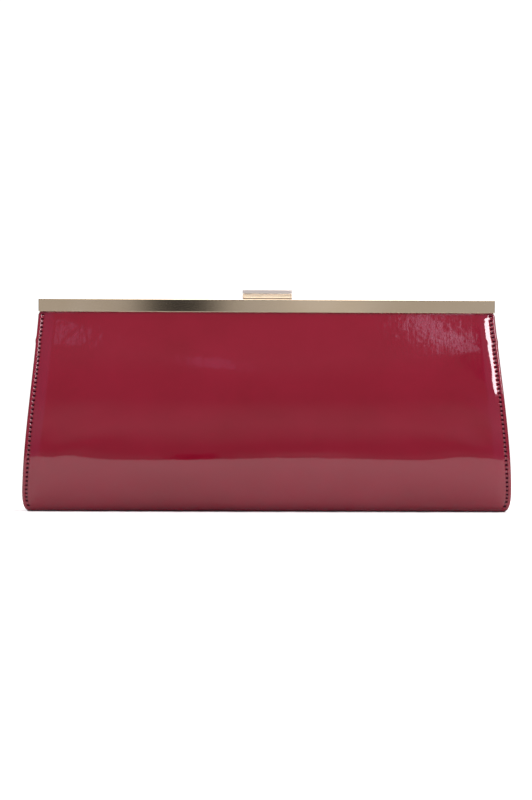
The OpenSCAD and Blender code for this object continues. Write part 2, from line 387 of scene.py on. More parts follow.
def add_node(
    tree: bpy.types.NodeTree,
    kind: str,
    settings: dict[str, Any] | None = None,
    sockets: dict[Any, Any] | None = None,
) -> bpy.types.Node:
    """Adds a node with its settings and links.

    Args:
        tree: the node tree.
        kind: the node's type, such as "ShaderNodeBump".
        settings: attributes of the node itself.
        sockets: for each input, by name or number, a value or the output socket that feeds it.

    Returns:
        The new node.
    """
    made = tree.nodes.new(kind)
    for key, value in (settings or {}).items():
        setattr(made, key, value)
    feed(tree, made, sockets or {})
    return made


def near(tree: bpy.types.NodeTree, value: Any, half: float, soft: float) -> Any:
    """A soft-edged window around 0.

    Args:
        tree: the node tree.
        value: the socket that is looked at.
        half: up to this size of the value, on either side, the window is fully open.
        soft: how much further it takes to close.

    Returns:
        The socket with 1 inside, easing to 0 outside.
    """
    size = add_node(tree, MATH, {"operation": "ABSOLUTE"}, {0: value}).outputs[0]
    sockets = {"Value": size, "From Min": half + soft, "From Max": half, "To Min": 0.0, "To Max": 1.0}
    return add_node(tree, "ShaderNodeMapRange", {"interpolation_type": "SMOOTHSTEP"}, sockets).outputs[0]


def pattern(tree: bpy.types.NodeTree, size_mm: Sequence[float], sockets: dict[Any, Any]) -> Any:
    """Noise on Object coordinates.

    Args:
        tree: the node tree.
        size_mm: the pattern repeats about once in these lengths along X, Y and Z.
        sockets: the noise's other values.

    Returns:
        The socket with the noise, between 0 and 1.
    """
    place = add_node(tree, "ShaderNodeTexCoord").outputs["Object"]
    stretch = [1 / (size * MM) for size in size_mm]
    scaled = add_node(tree, "ShaderNodeMapping", sockets={"Vector": place, "Scale": stretch}).outputs[0]
    return add_node(tree, NOISE, sockets={"Vector": scaled, "Scale": 1.0, **sockets}).outputs["Fac"]


def relief(tree: bpy.types.NodeTree, *layers: tuple[Any, float]) -> Any:
    """Bumps in layers, each laid on the one before.

    Args:
        tree: the node tree.
        layers: for each, a socket with a height between 0 and 1, and its depth in millimetres.

    Returns:
        The socket with the normal.
    """
    sockets: dict[str, Any] = {"Strength": 1.0}
    for height, depth_mm in layers:
        sockets |= {"Height": height, "Distance": depth_mm * MM}
        sockets["Normal"] = add_node(tree, "ShaderNodeBump", sockets=sockets).outputs[0]
    return sockets["Normal"]


def two_shades(tree: bpy.types.NodeTree, share: Any, first: str, second: str) -> Any:
    """Blends two shades by a pattern, each of them plain over the outer parts of its range.

    Args:
        tree: the node tree.
        share: the socket with the pattern.
        first: hex colour where the pattern is low.
        second: hex colour where it is high.

    Returns:
        The socket with the colour.
    """
    ramp = add_node(tree, "ShaderNodeValToRGB", sockets={"Fac": share})
    first_until, second_from = 0.3, 0.7
    stops = ((first_until, first), (second_from, second))
    for element, (position, colour) in zip(ramp.color_ramp.elements, stops):
        element.position = position
        element.color = linear(colour)
    return ramp.outputs[0]


@dataclass(frozen=True)
class Finish:
    """A material named for the real one. Subclasses say in sockets() what it is made of."""

    name: str

    def build(self) -> bpy.types.Material:
        """Makes the material with one Principled shader.

        Returns:
            The material.
        """
        made = bpy.data.materials.new(self.name)
        made.use_nodes = True
        tree = made.node_tree
        feed(tree, tree.nodes["Principled BSDF"], self.sockets(tree))
        return made

    def sockets(self, tree: bpy.types.NodeTree) -> dict[str, Any]:
        """The shader's values and links by name; each finish has its own."""
        raise NotImplementedError


@dataclass(frozen=True)
class PatentLeather(Finish):
    """Split leather under a thick clear lacquer: a deep colour below, a hard wet gloss on top.

    A needle hole's dimple is given by how far it is full and how far it then fades: across the seam in
    millimetres, and along it in stitches. Its dark middle is painted shade, a near-black colour that stands
    in for the shadow in the dip, and sets in between the two shares in hole_edge.
    """

    deep: str = "#6a071b"
    bright: str = "#710a20"
    drift_mm: float = 45.0
    pore_mm: float = 0.5
    pore_depth_mm: float = 0.0006
    peel_mm: float = 5.0
    peel_depth_mm: float = 0.032
    crease_mm: tuple[float, float, float] = (1.6, 14.0, 14.0)
    crease_depth_mm: float = 0.009
    # Painted shade: the near-black colour laid into each needle hole's middle, for the shadow in the dip
    hole: str = "#2a0410"
    hole_depth_mm: float = 0.20
    hole_across_mm: tuple[float, float] = (0.2, 1.3)
    hole_along: tuple[float, float] = (0.08, 0.32)
    hole_edge: tuple[float, float] = (0.35, 0.75)
    first_hole: float = 2.0

    def sockets(self, tree: bpy.types.NodeTree) -> dict[str, Any]:
        """Colour drifts slowly; lacquer ripples finely, with faint upright creases as drawn leather has.
        Each needle hole's middle gets painted shade: a near-black colour, with the lacquer left off there.

        Args:
            tree: the material's node tree.

        Returns:
            The shader's values and links by name.
        """
        drift = pattern(tree, (self.drift_mm,) * 3, {"Detail": 3.0, "Roughness": 0.55})
        dimple = self.needle_hole(tree)
        level = add_node(tree, MATH, {"operation": "SUBTRACT"}, {0: 1.0, 1: dimple}).outputs[0]
        surface = relief(
            tree,
            (pattern(tree, (self.pore_mm,) * 3, {"Detail": 2.0}), self.pore_depth_mm),
            (pattern(tree, (self.peel_mm,) * 3, {"Detail": 1.0}), self.peel_depth_mm),
            (pattern(tree, self.crease_mm, {"Detail": 3.0}), self.crease_depth_mm),
            (level, self.hole_depth_mm),
        )
        middle = {"Value": dimple, "To Min": 0.0, "To Max": 1.0}
        middle |= {"From Min": self.hole_edge[0], "From Max": self.hole_edge[1]}
        # Painted shade: each needle hole's middle is blended to the dark hole colour, and its lacquer is
        # taken away
        hole = add_node(tree, "ShaderNodeMapRange", {"interpolation_type": "SMOOTHSTEP"}, middle).outputs[0]
        plain = two_shades(tree, drift, self.deep, self.bright)
        # A colour mix takes its share at socket 0 and its colours at 6 and 7, and gives the result at 2
        painted_hole_shade = {0: hole, 6: plain, 7: linear(self.hole)}
        colour = add_node(tree, "ShaderNodeMix", {"data_type": "RGBA"}, painted_hole_shade).outputs[2]
        lacquer = add_node(tree, MATH, {"operation": "SUBTRACT"}, {0: 1.0, 1: hole}).outputs[0]
        return {
            "Base Color": colour,
            "Roughness": 0.42,
            "IOR": 1.45,
            "Specular IOR Level": 0.0,
            "Coat Weight": lacquer,
            "Coat Roughness": 0.055,
            "Coat IOR": 1.48,
            "Normal": surface,
            "Coat Normal": surface,
        }

    def needle_hole(self, tree: bpy.types.NodeTree) -> Any:
        """1 in the middle of a needle hole, falling to 0 around it where the thread pulls the leather down.

        It is the product of a window across the seam, a window half way between stitches, and a step that
        leaves out the part of the seam below the first hole.

        Args:
            tree: the leather's node tree.

        Returns:
            The socket with the share.
        """
        beside = add_node(tree, "ShaderNodeAttribute", {"attribute_name": "beside_seam"}).outputs["Fac"]
        count = add_node(tree, "ShaderNodeAttribute", {"attribute_name": "stitch_count"}).outputs["Fac"]
        part = add_node(tree, MATH, {"operation": "FRACT"}, {0: count}).outputs[0]
        off = add_node(tree, MATH, {"operation": "SUBTRACT"}, {0: part, 1: 0.5}).outputs[0]
        share = add_node(
            tree, MATH, {"operation": "GREATER_THAN"}, {0: count, 1: self.first_hole}
        ).outputs[0]
        for window in (near(tree, beside, *self.hole_across_mm), near(tree, off, *self.hole_along)):
            share = add_node(tree, MATH, {"operation": "MULTIPLY"}, {0: share, 1: window}).outputs[0]
        return share


@dataclass(frozen=True)
class PlatedBrass(Finish):
    """Brass strip plated pale champagne gold: soft mirror with faint drawing lines along its length."""

    colour: str = "#ecd5b8"
    pale: str = "#f2dcc2"
    roughness: float = 0.07
    line_mm: tuple[float, float, float] = (30.0, 0.25, 0.25)
    line_depth_mm: float = 0.0008
    tint_mm: float = 25.0

    def sockets(self, tree: bpy.types.NodeTree) -> dict[str, Any]:
        """The lines are drawn a little coarser than the real ones so that they show.

        Args:
            tree: the material's node tree.

        Returns:
            The shader's values and links by name.
        """
        lines = pattern(tree, self.line_mm, {"Detail": 2.0})
        tint = pattern(tree, (self.tint_mm,) * 3, {"Detail": 2.0})
        return {
            "Base Color": two_shades(tree, tint, self.colour, self.pale),
            "Metallic": 1.0,
            "Roughness": self.roughness,
            "Normal": relief(tree, (lines, self.line_depth_mm)),
        }


@dataclass(frozen=True)
class TwoTone(Finish):
    """A surface of two shades whose pattern is also its relief; the other finishes are kinds of it."""

    dark: str = "#8c857a"
    light: str = "#a39c90"
    size_mm: tuple[float, float, float] = (0.8, 0.8, 0.8)
    depth_mm: float = 0.05
    detail: float = 4.0
    shine: tuple[tuple[str, float], ...] = (("Roughness", 0.9),)

    def sockets(self, tree: bpy.types.NodeTree) -> dict[str, Any]:
        """One pattern gives the colour and the bumps.

        Args:
            tree: the material's node tree.

        Returns:
            The shader's values and links by name.
        """
        share = pattern(tree, self.size_mm, {"Detail": self.detail})
        return {
            "Base Color": two_shades(tree, share, self.dark, self.light),
            "Normal": relief(tree, (share, self.depth_mm)),
            **dict(self.shine),
        }


@dataclass(frozen=True)
class StripSteel(TwoTone):
    """Cold-rolled steel strip, nickel washed: grey, with rolling lines up its arms, coarser than real."""

    dark: str = "#a9a8a6"
    light: str = "#bcbbb8"
    size_mm: tuple[float, float, float] = (0.3, 0.3, 12.0)
    depth_mm: float = 0.002
    detail: float = 3.0
    shine: tuple[tuple[str, float], ...] = (("Metallic", 1.0), ("Roughness", 0.34))


@dataclass(frozen=True)
class SatinLining(TwoTone):
    """Polyester satin: floats along X give a soft sheen and a fine rib, drawn coarser than the thread."""

    dark: str = "#4a101c"
    light: str = "#64182a"
    size_mm: tuple[float, float, float] = (6.0, 0.35, 0.35)
    detail: float = 2.0
    shine: tuple[tuple[str, float], ...] = (
        ("Roughness", 0.45), ("Sheen Weight", 0.4), ("Sheen Roughness", 0.35),
    )


@dataclass(frozen=True)
class SewingThread(TwoTone):
    """Bonded polyester thread in the leather's colour: bands of twisted plies with a dull shine."""

    dark: str = "#4a0716"
    light: str = "#7a1228"
    size_mm: tuple[float, float, float] = (0.3, 0.3, 0.5)
    detail: float = 1.0
    shine: tuple[tuple[str, float], ...] = (("Roughness", 0.55), ("Sheen Weight", 0.3))


@dataclass(frozen=True)
class PlainStock(TwoTone):
    """Board, foam and paper: a matte surface with flecks or cells of two shades."""


class Palette:
    """Every material of the bag, made once."""

    def __init__(self) -> None:
        """Builds the finishes."""
        self.leather = PatentLeather("patent leather, burgundy").build()
        self.gold = PlatedBrass("brass, pale gold plate").build()
        brushed_mm = (8.0, 0.3, 0.3)
        self.bar = PlatedBrass("brass, satin gold plate", roughness=0.26, line_mm=brushed_mm).build()
        self.hook = PlatedBrass(
            "brass, brushed gold plate", "#ece3d8", "#f1e8de", roughness=0.30, line_mm=brushed_mm
        ).build()
        self.steel = StripSteel("steel strip, nickel washed").build()
        self.lining = SatinLining("satin lining, wine").build()
        self.thread = SewingThread("bonded thread, burgundy").build()
        self.board = PlainStock("greyboard").build()
        self.foam = PlainStock("polyurethane foam", "#ddd9cc", "#efece2", (0.5,) * 3, 0.2).build()
        self.paper = PlainStock("twisted kraft paper", "#8f7c5e", "#b39f7e", (0.6,) * 3, 0.08).build()

    def dress(self, piece: bpy.types.Object, material: bpy.types.Material, slot: Slot) -> None:
        """Gives a piece one material.

        Args:
            piece: the piece.
            material: its material.
            slot: the record's slot; not used.
        """
        piece.data.materials.clear()
        piece.data.materials.append(material)

    def dress_node(self, node: str, material: bpy.types.Material) -> None:
        """Gives a CAD node that stays a better material.

        Args:
            node: the node's name.
            material: its new material.
        """
        shown = frame["nodes"][node]
        for place in shown.material_slots:
            place.material = material
        if not shown.material_slots:
            shown.data.materials.append(material)


# ------------------------------------------------------------------------------
# The shape that all soft pieces share
# ------------------------------------------------------------------------------


@dataclass
class BagShape:
    """Side profile and front outline of the bag, the same rules as the CAD's.

    s runs along the profile: 0 at the edge of the base, 1 at the belly, 2 at the underside of the rail.
    """

    belly_z: float = 36 * MM
    corner_radius: float = 6 * MM
    wide_z: float = 10 * MM
    rail_wall: float = 0.8 * MM
    rail_play: float = 0.05 * MM
    leather: float = 1.2 * MM
    straight_share: float = 0.66
    bulge_height: float = 0.35 * MM
    bulge_width: float = 1.6 * MM
    crown: float = 1.6 * MM
    crown_z: float = 50 * MM
    settled_z: tuple[float, float] = (0.2 * MM, 6 * MM)
    base_half: float = field(init=False)
    belly_half: float = field(init=False)
    frame_half: float = field(init=False)
    rail_z: float = field(init=False)
    mouth_half: float = field(init=False)
    wide_half: float = field(init=False)
    hinge: tuple[float, float, float] = field(init=False)

    def __post_init__(self) -> None:
        """Reads the driving sizes from the frame."""
        rail_low, rail_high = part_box("front_rail")
        panel_low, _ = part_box("front_panel")
        self.base_half = round(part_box("base_panel")[1].y / MM) * MM
        self.belly_half = -panel_low.y
        self.frame_half = -rail_low.y - self.rail_wall - CRIMP - self.rail_play
        self.rail_z = rail_low.z
        self.mouth_half = rail_high.x
        self.wide_half = -panel_low.x
        self.hinge = tuple(frame["joints"][0]["pos_m"])

    def profile(self, s: Array) -> tuple[Array, Array]:
        """Half depth and height along the profile.

        Below the belly it is a quarter ellipse. Above it the depth falls as a sine of the height, and past
        s = 2 it runs straight up inside the rail.

        Args:
            s: places along the profile.

        Returns:
            The half depth and the height at each place.
        """
        s = np.asarray(s, float)
        quarter = math.pi / 2
        low = self.base_half + (self.belly_half - self.base_half) * np.sin(quarter * np.clip(s, 0, 1))
        fade = np.sin(quarter * np.clip(2 - s, 0, 1))
        high = self.frame_half + (self.belly_half - self.frame_half) * fade
        z_low = self.belly_z * (1 - np.cos(quarter * np.clip(s, 0, 1)))
        z_high = self.belly_z + (self.rail_z - self.belly_z) * (s - 1)
        return np.where(s < 1, low, high), np.where(s < 1, z_low, z_high)

    def inset(self, s: Array, depth: Array) -> tuple[Array, Array]:
        """The profile moved inwards along its own normal.

        Args:
            s: places along the profile.
            depth: how far inwards at each place.

        Returns:
            The half depth and the height at each place.
        """
        step = 1e-3
        y0, z0 = self.profile(np.clip(np.asarray(s) - step, 0, None))
        y1, z1 = self.profile(np.asarray(s) + step)
        along = unit(np.stack([y1 - y0, z1 - z0], axis=-1))
        y, z = self.profile(s)
        return y - along[..., 1] * depth, z + along[..., 0] * depth

    def s_at(self, z: float) -> float:
        """The place on the profile at a height.

        Args:
            z: the height.

        Returns:
            The place: on the quarter ellipse below the belly, in proportion to the height above it.
        """
        if z < self.belly_z:
            return math.acos(1 - z / self.belly_z) / (math.pi / 2)
        return 1 + (z - self.belly_z) / (self.rail_z - self.belly_z)

    def half_width(self, z: Array) -> Array:
        """Half the outline's width at height z.

        The taper is a straight line blended with a half cosine, which eases it in at both ends, and at the
        hinge the rivets push the seam out by a small bell.

        Args:
            z: heights.

        Returns:
            Half the width at each height, without the rounded lower corner.
        """
        share = np.clip((self.rail_z - z) / (self.rail_z - self.wide_z), 0, 1)
        eased = (1 - np.cos(math.pi * share)) / 2
        taper = self.straight_share * share + (1 - self.straight_share) * eased
        rivet = self.bulge_height * bell(z, self.hinge[2], self.bulge_width)
        return self.mouth_half + (self.wide_half - self.mouth_half) * taper + rivet

    def corner(self, z: Array) -> Array:
        """How far the rounded lower corner brings the outline in at height z."""
        share = np.clip(1 - np.asarray(z) / self.corner_radius, 0, 1)
        return self.corner_radius * (1 - np.sqrt(1 - share**2))

    def outline(self, z: Array) -> Array:
        """Half the width at height z, rounded lower corner and all."""
        return self.half_width(z) - self.corner(z)

    def fall(self, x: Array, z: Array) -> Array:
        """How far the crowned face falls back: as the square of x, and less towards the straight rail."""
        return self.crown * (x / self.wide_half) ** 2 * (1 - smooth(z, self.crown_z, self.rail_z))

    def settled(self, z: Array) -> Array:
        """0 on the ground, rising to 1 a few millimetres up, where the leather has left the base's edge."""
        return smooth(z, *self.settled_z)

    def spread(self, low: float, high: float, count: int) -> Array:
        """Places along the profile that are evenly spaced by its length.

        Args:
            low: first place.
            high: last place.
            count: how many places.

        Returns:
            The places, from low to high.
        """
        fine = np.linspace(low, high, FINE_STEPS)
        y, z = self.profile(fine)
        length = travelled(y, z)
        return np.interp(np.linspace(0, length[-1], count), length, fine)


@dataclass
class Bend:
    """How cloth and leather bend across the hinge: still below it, with the frame above it."""

    shape: BagShape
    below: float = 11 * MM
    above: float = 9 * MM

    @property
    def low_z(self) -> float:
        """Height below which everything stays with the bag."""
        return self.shape.hinge[2] - self.below

    @property
    def high_z(self) -> float:
        """Height above which everything goes with the frame."""
        return self.shape.hinge[2] + self.above

    def apply(self, piece: bpy.types.Object, face: Face) -> None:
        """Blends a piece between the bag and one half of the frame."""
        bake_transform(piece, "bag", face.body, start=(0, 0, self.low_z), end=(0, 0, self.high_z))

    def apply_folded(self, piece: bpy.types.Object, face: Face, share: Array) -> None:
        """Blends a gusset: the same bend, faded to nothing at its centre fold.

        Args:
            piece: the gusset half.
            face: the half of the frame that it follows.
            share: for each vertex, 0 on the centre fold to 1 at the stitched edge.
        """
        self.apply(piece, face)
        weights = piece.data.attributes["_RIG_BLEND"].data
        rising = np.zeros(len(weights), np.float32)
        weights.foreach_get("value", rising)
        weights.foreach_set("value", (rising * share.ravel()).astype(np.float32))


# ------------------------------------------------------------------------------
# Leather
# ------------------------------------------------------------------------------


@dataclass(frozen=True)
class Waves:
    """Slow waves of leather glued to foam: a product of two sines, and one slanting swell.

    A length is how far the sine takes for one radian, and a shift only moves the pattern.
    """

    height: float = 0.09 * MM
    length: tuple[float, float] = (21 * MM, 15 * MM)
    shift: tuple[float, float] = (1.1, 0.4)
    swell_height: float = 0.08 * MM
    swell_length: tuple[float, float] = (37 * MM, 16 * MM)
    swell_shift: float = -0.7

    def depth(self, x: Array, z: Array) -> Array:
        """How deep the waves lie.

        Args:
            x: places along the frame.
            z: heights.

        Returns:
            The depth.
        """
        crossing = np.sin(x / self.length[0] + self.shift[0]) * np.sin(z / self.length[1] + self.shift[1])
        swell = np.sin(x / self.swell_length[0] + z / self.swell_length[1] + self.swell_shift)
        return self.height * crossing + self.swell_height * swell


@dataclass(frozen=True)
class DragLines:
    """Bowl-shaped lines over the lower corners, where the leather was drawn round the board.

    They are a sine across a family of parabolas, kept to each corner by a bell in x and one in z.
    """

    height: float = 0.13 * MM
    spacing: float = 4.6 * MM
    corner: tuple[float, float] = (100 * MM, 46 * MM)
    reach: tuple[float, float] = (38 * MM, 16 * MM)
    bowl_x: float = 72 * MM
    bowl_reach: float = 150 * MM

    def depth(self, x: Array, z: Array) -> Array:
        """How deep the lines lie.

        Args:
            x: places along the frame.
            z: heights.

        Returns:
            The depth.
        """
        here = bell(np.abs(x), self.corner[0], self.reach[0]) * bell(z, self.corner[1], self.reach[1])
        bowl = z + (np.abs(x) - self.bowl_x) ** 2 / self.bowl_reach
        return self.height * here * np.sin(bowl / self.spacing)


@dataclass(frozen=True)
class Puckers:
    """Slanting puckers that the stitching pulls in, stronger and weaker along the seam.

    They are a sine across lines that slant and wander, kept near the seam by a bell.
    """

    height: float = 0.085 * MM
    reach: float = 9 * MM
    spacing: tuple[float, float] = (5.2 * MM, 4.1 * MM)
    wander: float = 0.8
    wander_length: float = 13 * MM
    strength: float = 0.55
    change: float = 0.45
    change_length: float = 11 * MM
    side_shift: float = 1.7

    def depth(self, x: Array, z: Array, from_edge: Array) -> Array:
        """How deep the puckers lie.

        Args:
            x: places along the frame.
            z: heights.
            from_edge: distance from the panel's side edge.

        Returns:
            The depth.
        """
        slant = np.abs(x) / self.spacing[0] + z / self.spacing[1]
        slant = slant + self.wander * np.sin(z / self.wander_length)
        change = np.sin(z / self.change_length + self.side_shift * np.sign(x))
        near_seam = bell(from_edge, self.reach, self.reach)
        return self.height * near_seam * (self.strength + self.change * change) * np.sin(slant)


@dataclass
class LeatherPanel:
    """The front or back: one sheet from the base's edge up into the rail, with a stitched edge each side.

    The stitching lies seam_in from the edge, and from there the leather rises over the width of the roll.
    The calm sizes say where the small waves die away, the hold sizes where the rail holds the leather, and
    the tuck sizes where it narrows to enter the rail. A stitch takes up stitch_share of the pitch.
    """

    shape: BagShape
    bend: Bend
    palette: Palette
    face: Face
    waves: Waves = Waves()
    drag_lines: DragLines = DragLines()
    puckers: Puckers = Puckers()
    seam_in: float = 2.6 * MM
    roll_width: float = 8.0 * MM
    roll_depth: float = 1.25 * MM
    edge_pillow: float = 0.45 * MM
    edge_round: float = 0.30 * MM
    calm_z: tuple[float, float] = (1 * MM, 10 * MM)
    calm_height: float = 45 * MM
    rail_hold: float = 0.85
    hold_below: float = 4 * MM
    hold_above: float = 2 * MM
    tuck: float = 1.1 * MM
    tuck_below: tuple[float, float] = (0.9 * MM, 0.2 * MM)
    into_rail: float = 5.6 * MM
    rows: int = 150
    columns: int = 240
    crowding: float = 1.6
    stitch_pitch: float = 2.7 * MM
    stitch_share: float = 0.72
    first_stitch: int = 3
    top_gap: float = 2 * MM
    thread_radius: float = 0.30 * MM
    thread_tip: float = 0.96
    arch_height: float = 0.34 * MM
    hole_sink: float = 0.22 * MM

    def edge_relief(self, from_edge: Array) -> Array:
        """How deep the surface lies beside a seam.

        The padded roll falls as the square of the share of the way to the stitching. Outside the stitching
        the edge is a low pillow, half a sine, and its cut edge is rounded.

        Args:
            from_edge: distance from the panel's side edge.

        Returns:
            The depth.
        """
        roll = self.roll_depth * np.clip(1 - (from_edge - self.seam_in) / self.roll_width, 0, 1) ** 2
        pillow = self.edge_pillow * np.sin(math.pi * np.clip(from_edge / self.seam_in, 0, 1))
        cut_edge = self.edge_round * (1 - smooth(from_edge, 0, 2 * self.edge_round))
        return roll - pillow + cut_edge

    def relief(self, x: Array, z: Array, from_edge: Array) -> Array:
        """How far the surface lies below the plain profile.

        The edge's relief and the crown fade at the rail and at the ground. The waves, drag lines and puckers
        die away sooner, as the board and the rail hold the leather flat there.

        Args:
            x: places along the frame.
            z: heights.
            from_edge: distance from the panel's side edge.

        Returns:
            The depth.
        """
        rail_z = self.shape.rail_z
        free = 1 - self.rail_hold * smooth(z, rail_z - self.hold_below, rail_z + self.hold_above)
        sunk = (self.edge_relief(from_edge) + self.shape.fall(x, z)) * free * self.shape.settled(z)
        calm = smooth(z, *self.calm_z) * (1 - smooth(z, rail_z - self.calm_height, rail_z))
        small = self.waves.depth(x, z) + self.drag_lines.depth(x, z) + self.puckers.depth(x, z, from_edge)
        return sunk + small * calm

    def points(self, s: Array, across: Array) -> Array:
        """The outer surface.

        Args:
            s: places along the profile.
            across: places from -1 to 1 across the outline.

        Returns:
            The points, with x, y and z last.
        """
        _, z = self.shape.profile(s)
        in_rail = smooth(z, *(self.shape.rail_z - below for below in self.tuck_below))
        half = self.shape.outline(z) - in_rail * self.tuck
        x = across * half
        y, z = self.shape.inset(s, self.relief(x, z, half - np.abs(x)))
        return np.stack([x, self.face.value * y, np.maximum(z, 0.0)], axis=-1)

    def across(self) -> Array:
        """Places across the width, close together near the seams where the shape turns most."""
        even = np.linspace(-1, 1, self.columns)
        return np.sign(even) * (1 - (1 - np.abs(even)) ** self.crowding)

    def build(self) -> list[bpy.types.Object]:
        """Makes the panel and its two rows of stitches.

        Returns:
            The panel, then the stitches.
        """
        top = self.shape.s_at(self.shape.rail_z + self.into_rail)
        s, across = np.meshgrid(self.shape.spread(0, top, self.rows), self.across(), indexing="ij")
        word = self.face.word
        panel = sheet_object(f"{word}_panel_leather", self.points(s, across), flip=self.face is Face.BACK)
        self.palette.dress(panel, self.palette.leather, Slot.LEATHER)
        self.mark_seam(panel, s, across)
        self.bend.apply(panel, self.face)
        thicken(panel, self.shape.leather)
        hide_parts(f"{word}_panel", f"{word}_panel_fold", f"{word}_panel_top")
        return [panel] + [self.stitches(end) for end in End]

    def mark_seam(self, panel: bpy.types.Object, s: Array, across: Array) -> None:
        """Stores where the leather's needle holes are.

        beside_seam is each point's distance from the stitch line in millimetres, and stitch_count tells how
        many stitches up the seam it is.

        Args:
            panel: the panel.
            s: its points' places along the profile.
            across: their places from -1 to 1 across the outline.
        """
        y, z = self.shape.profile(s)
        half = self.shape.outline(z)
        beside = (half - np.abs(across * half) - self.seam_in) / MM
        count = travelled(y[:, 0], z[:, 0])[:, None] / self.stitch_pitch
        for name, values in {"beside_seam": beside, "stitch_count": count + 0 * beside}.items():
            layer = panel.data.attributes.new(name, "FLOAT", "POINT")
            layer.data.foreach_set("value", np.ascontiguousarray(values, np.float32).ravel())

    def stitches(self, end: End) -> bpy.types.Object:
        """One row of stitches down a side seam.

        Each stitch is a short thread that rises from one needle hole and dips into the next: a tube whose
        centre line is a parabola over the leather, and whose ends narrow as the sixth power of their place.

        Args:
            end: which side seam.

        Returns:
            The row, as one piece.
        """
        top = self.shape.s_at(self.shape.rail_z - self.top_gap)
        places = self.shape.spread(0, top, 2 * FINE_STEPS)
        depth, z = self.shape.profile(places)
        half = self.shape.outline(z)
        line = self.points(places, end.value * (half - self.seam_in) / half)
        length = travelled(depth, z)
        numbers = np.arange(self.first_stitch, int(length[-1] / self.stitch_pitch))
        along, around = 7, 8
        run = np.linspace(-1, 1, along)
        arch = self.arch_height * (1 - run**2) - self.hole_sink
        narrow = np.sqrt(1 - (run * self.thread_tip) ** 6)
        narrow[[0, -1]] = 0.0
        spine_at = (numbers[:, None] + run * self.stitch_share / 2) * self.stitch_pitch
        spine = np.stack([np.interp(spine_at, length, line[:, k]) for k in range(3)], axis=-1)
        ahead = unit(np.gradient(spine, axis=1))
        side = unit(np.array([1.0, 0.0, 0.0]) - ahead * ahead[..., :1])
        out = np.cross(ahead, side)
        out *= np.sign(out[..., 1:2]) * self.face.value
        spine = spine + out * arch[None, :, None]
        turn = np.linspace(0, 2 * math.pi, around, endpoint=False)
        ring = side[:, :, None] * np.cos(turn)[:, None] + out[:, :, None] * np.sin(turn)[:, None]
        tube = spine[:, :, None] + ring * (self.thread_radius * narrow)[None, :, None, None]
        row = closed_object(f"{self.face.word}_stitches_{end.word}", list(tube))
        self.palette.dress(row, self.palette.thread, Slot.LEATHER)
        self.bend.apply(row, self.face)
        return row


@dataclass(frozen=True)
class GussetCut:
    """The sizes in which a gusset and the lining of that end differ.

    Attributes:
        word: the start of the CAD nodes' names.
        depth: how far its stitched edge lies behind the inner side of the leather.
        least_y: how near it comes to the middle beside the arms of the frame.
        edge_in: how far its flat edge stops short of the leather's edge.
        slope_in: how much further that is at the rail.
        flat: the share of its width that lies flat behind the panel.
        fold_in: how far in the fold starts at the base.
        fold_depth: how much further in the fold lies higher up.
        top_in: how far below the rail it ends.
        start: where it starts along the profile.
        thickness: its thickness.
    """

    word: str
    depth: float
    least_y: float
    edge_in: float
    slope_in: float
    flat: float
    fold_in: float
    fold_depth: float
    top_in: float
    start: float
    thickness: float


OUTER_CUT = GussetCut(
    word="gusset",
    depth=1.25 * MM,
    least_y=3.9 * MM,
    edge_in=0.0,
    slope_in=0.0,
    flat=0.3,
    fold_in=1.2 * MM,
    fold_depth=14 * MM,
    top_in=1.2 * MM,
    start=0.0,
    thickness=0.9 * MM,
)
LINING_CUT = GussetCut(
    word="gusset_lining",
    depth=4.2 * MM,
    least_y=1.7 * MM,
    edge_in=2.6 * MM,
    slope_in=5 * MM,
    flat=0.0,
    fold_in=3.4 * MM,
    fold_depth=12 * MM,
    top_in=3.0 * MM,
    start=0.12,
    thickness=0.5 * MM,
)


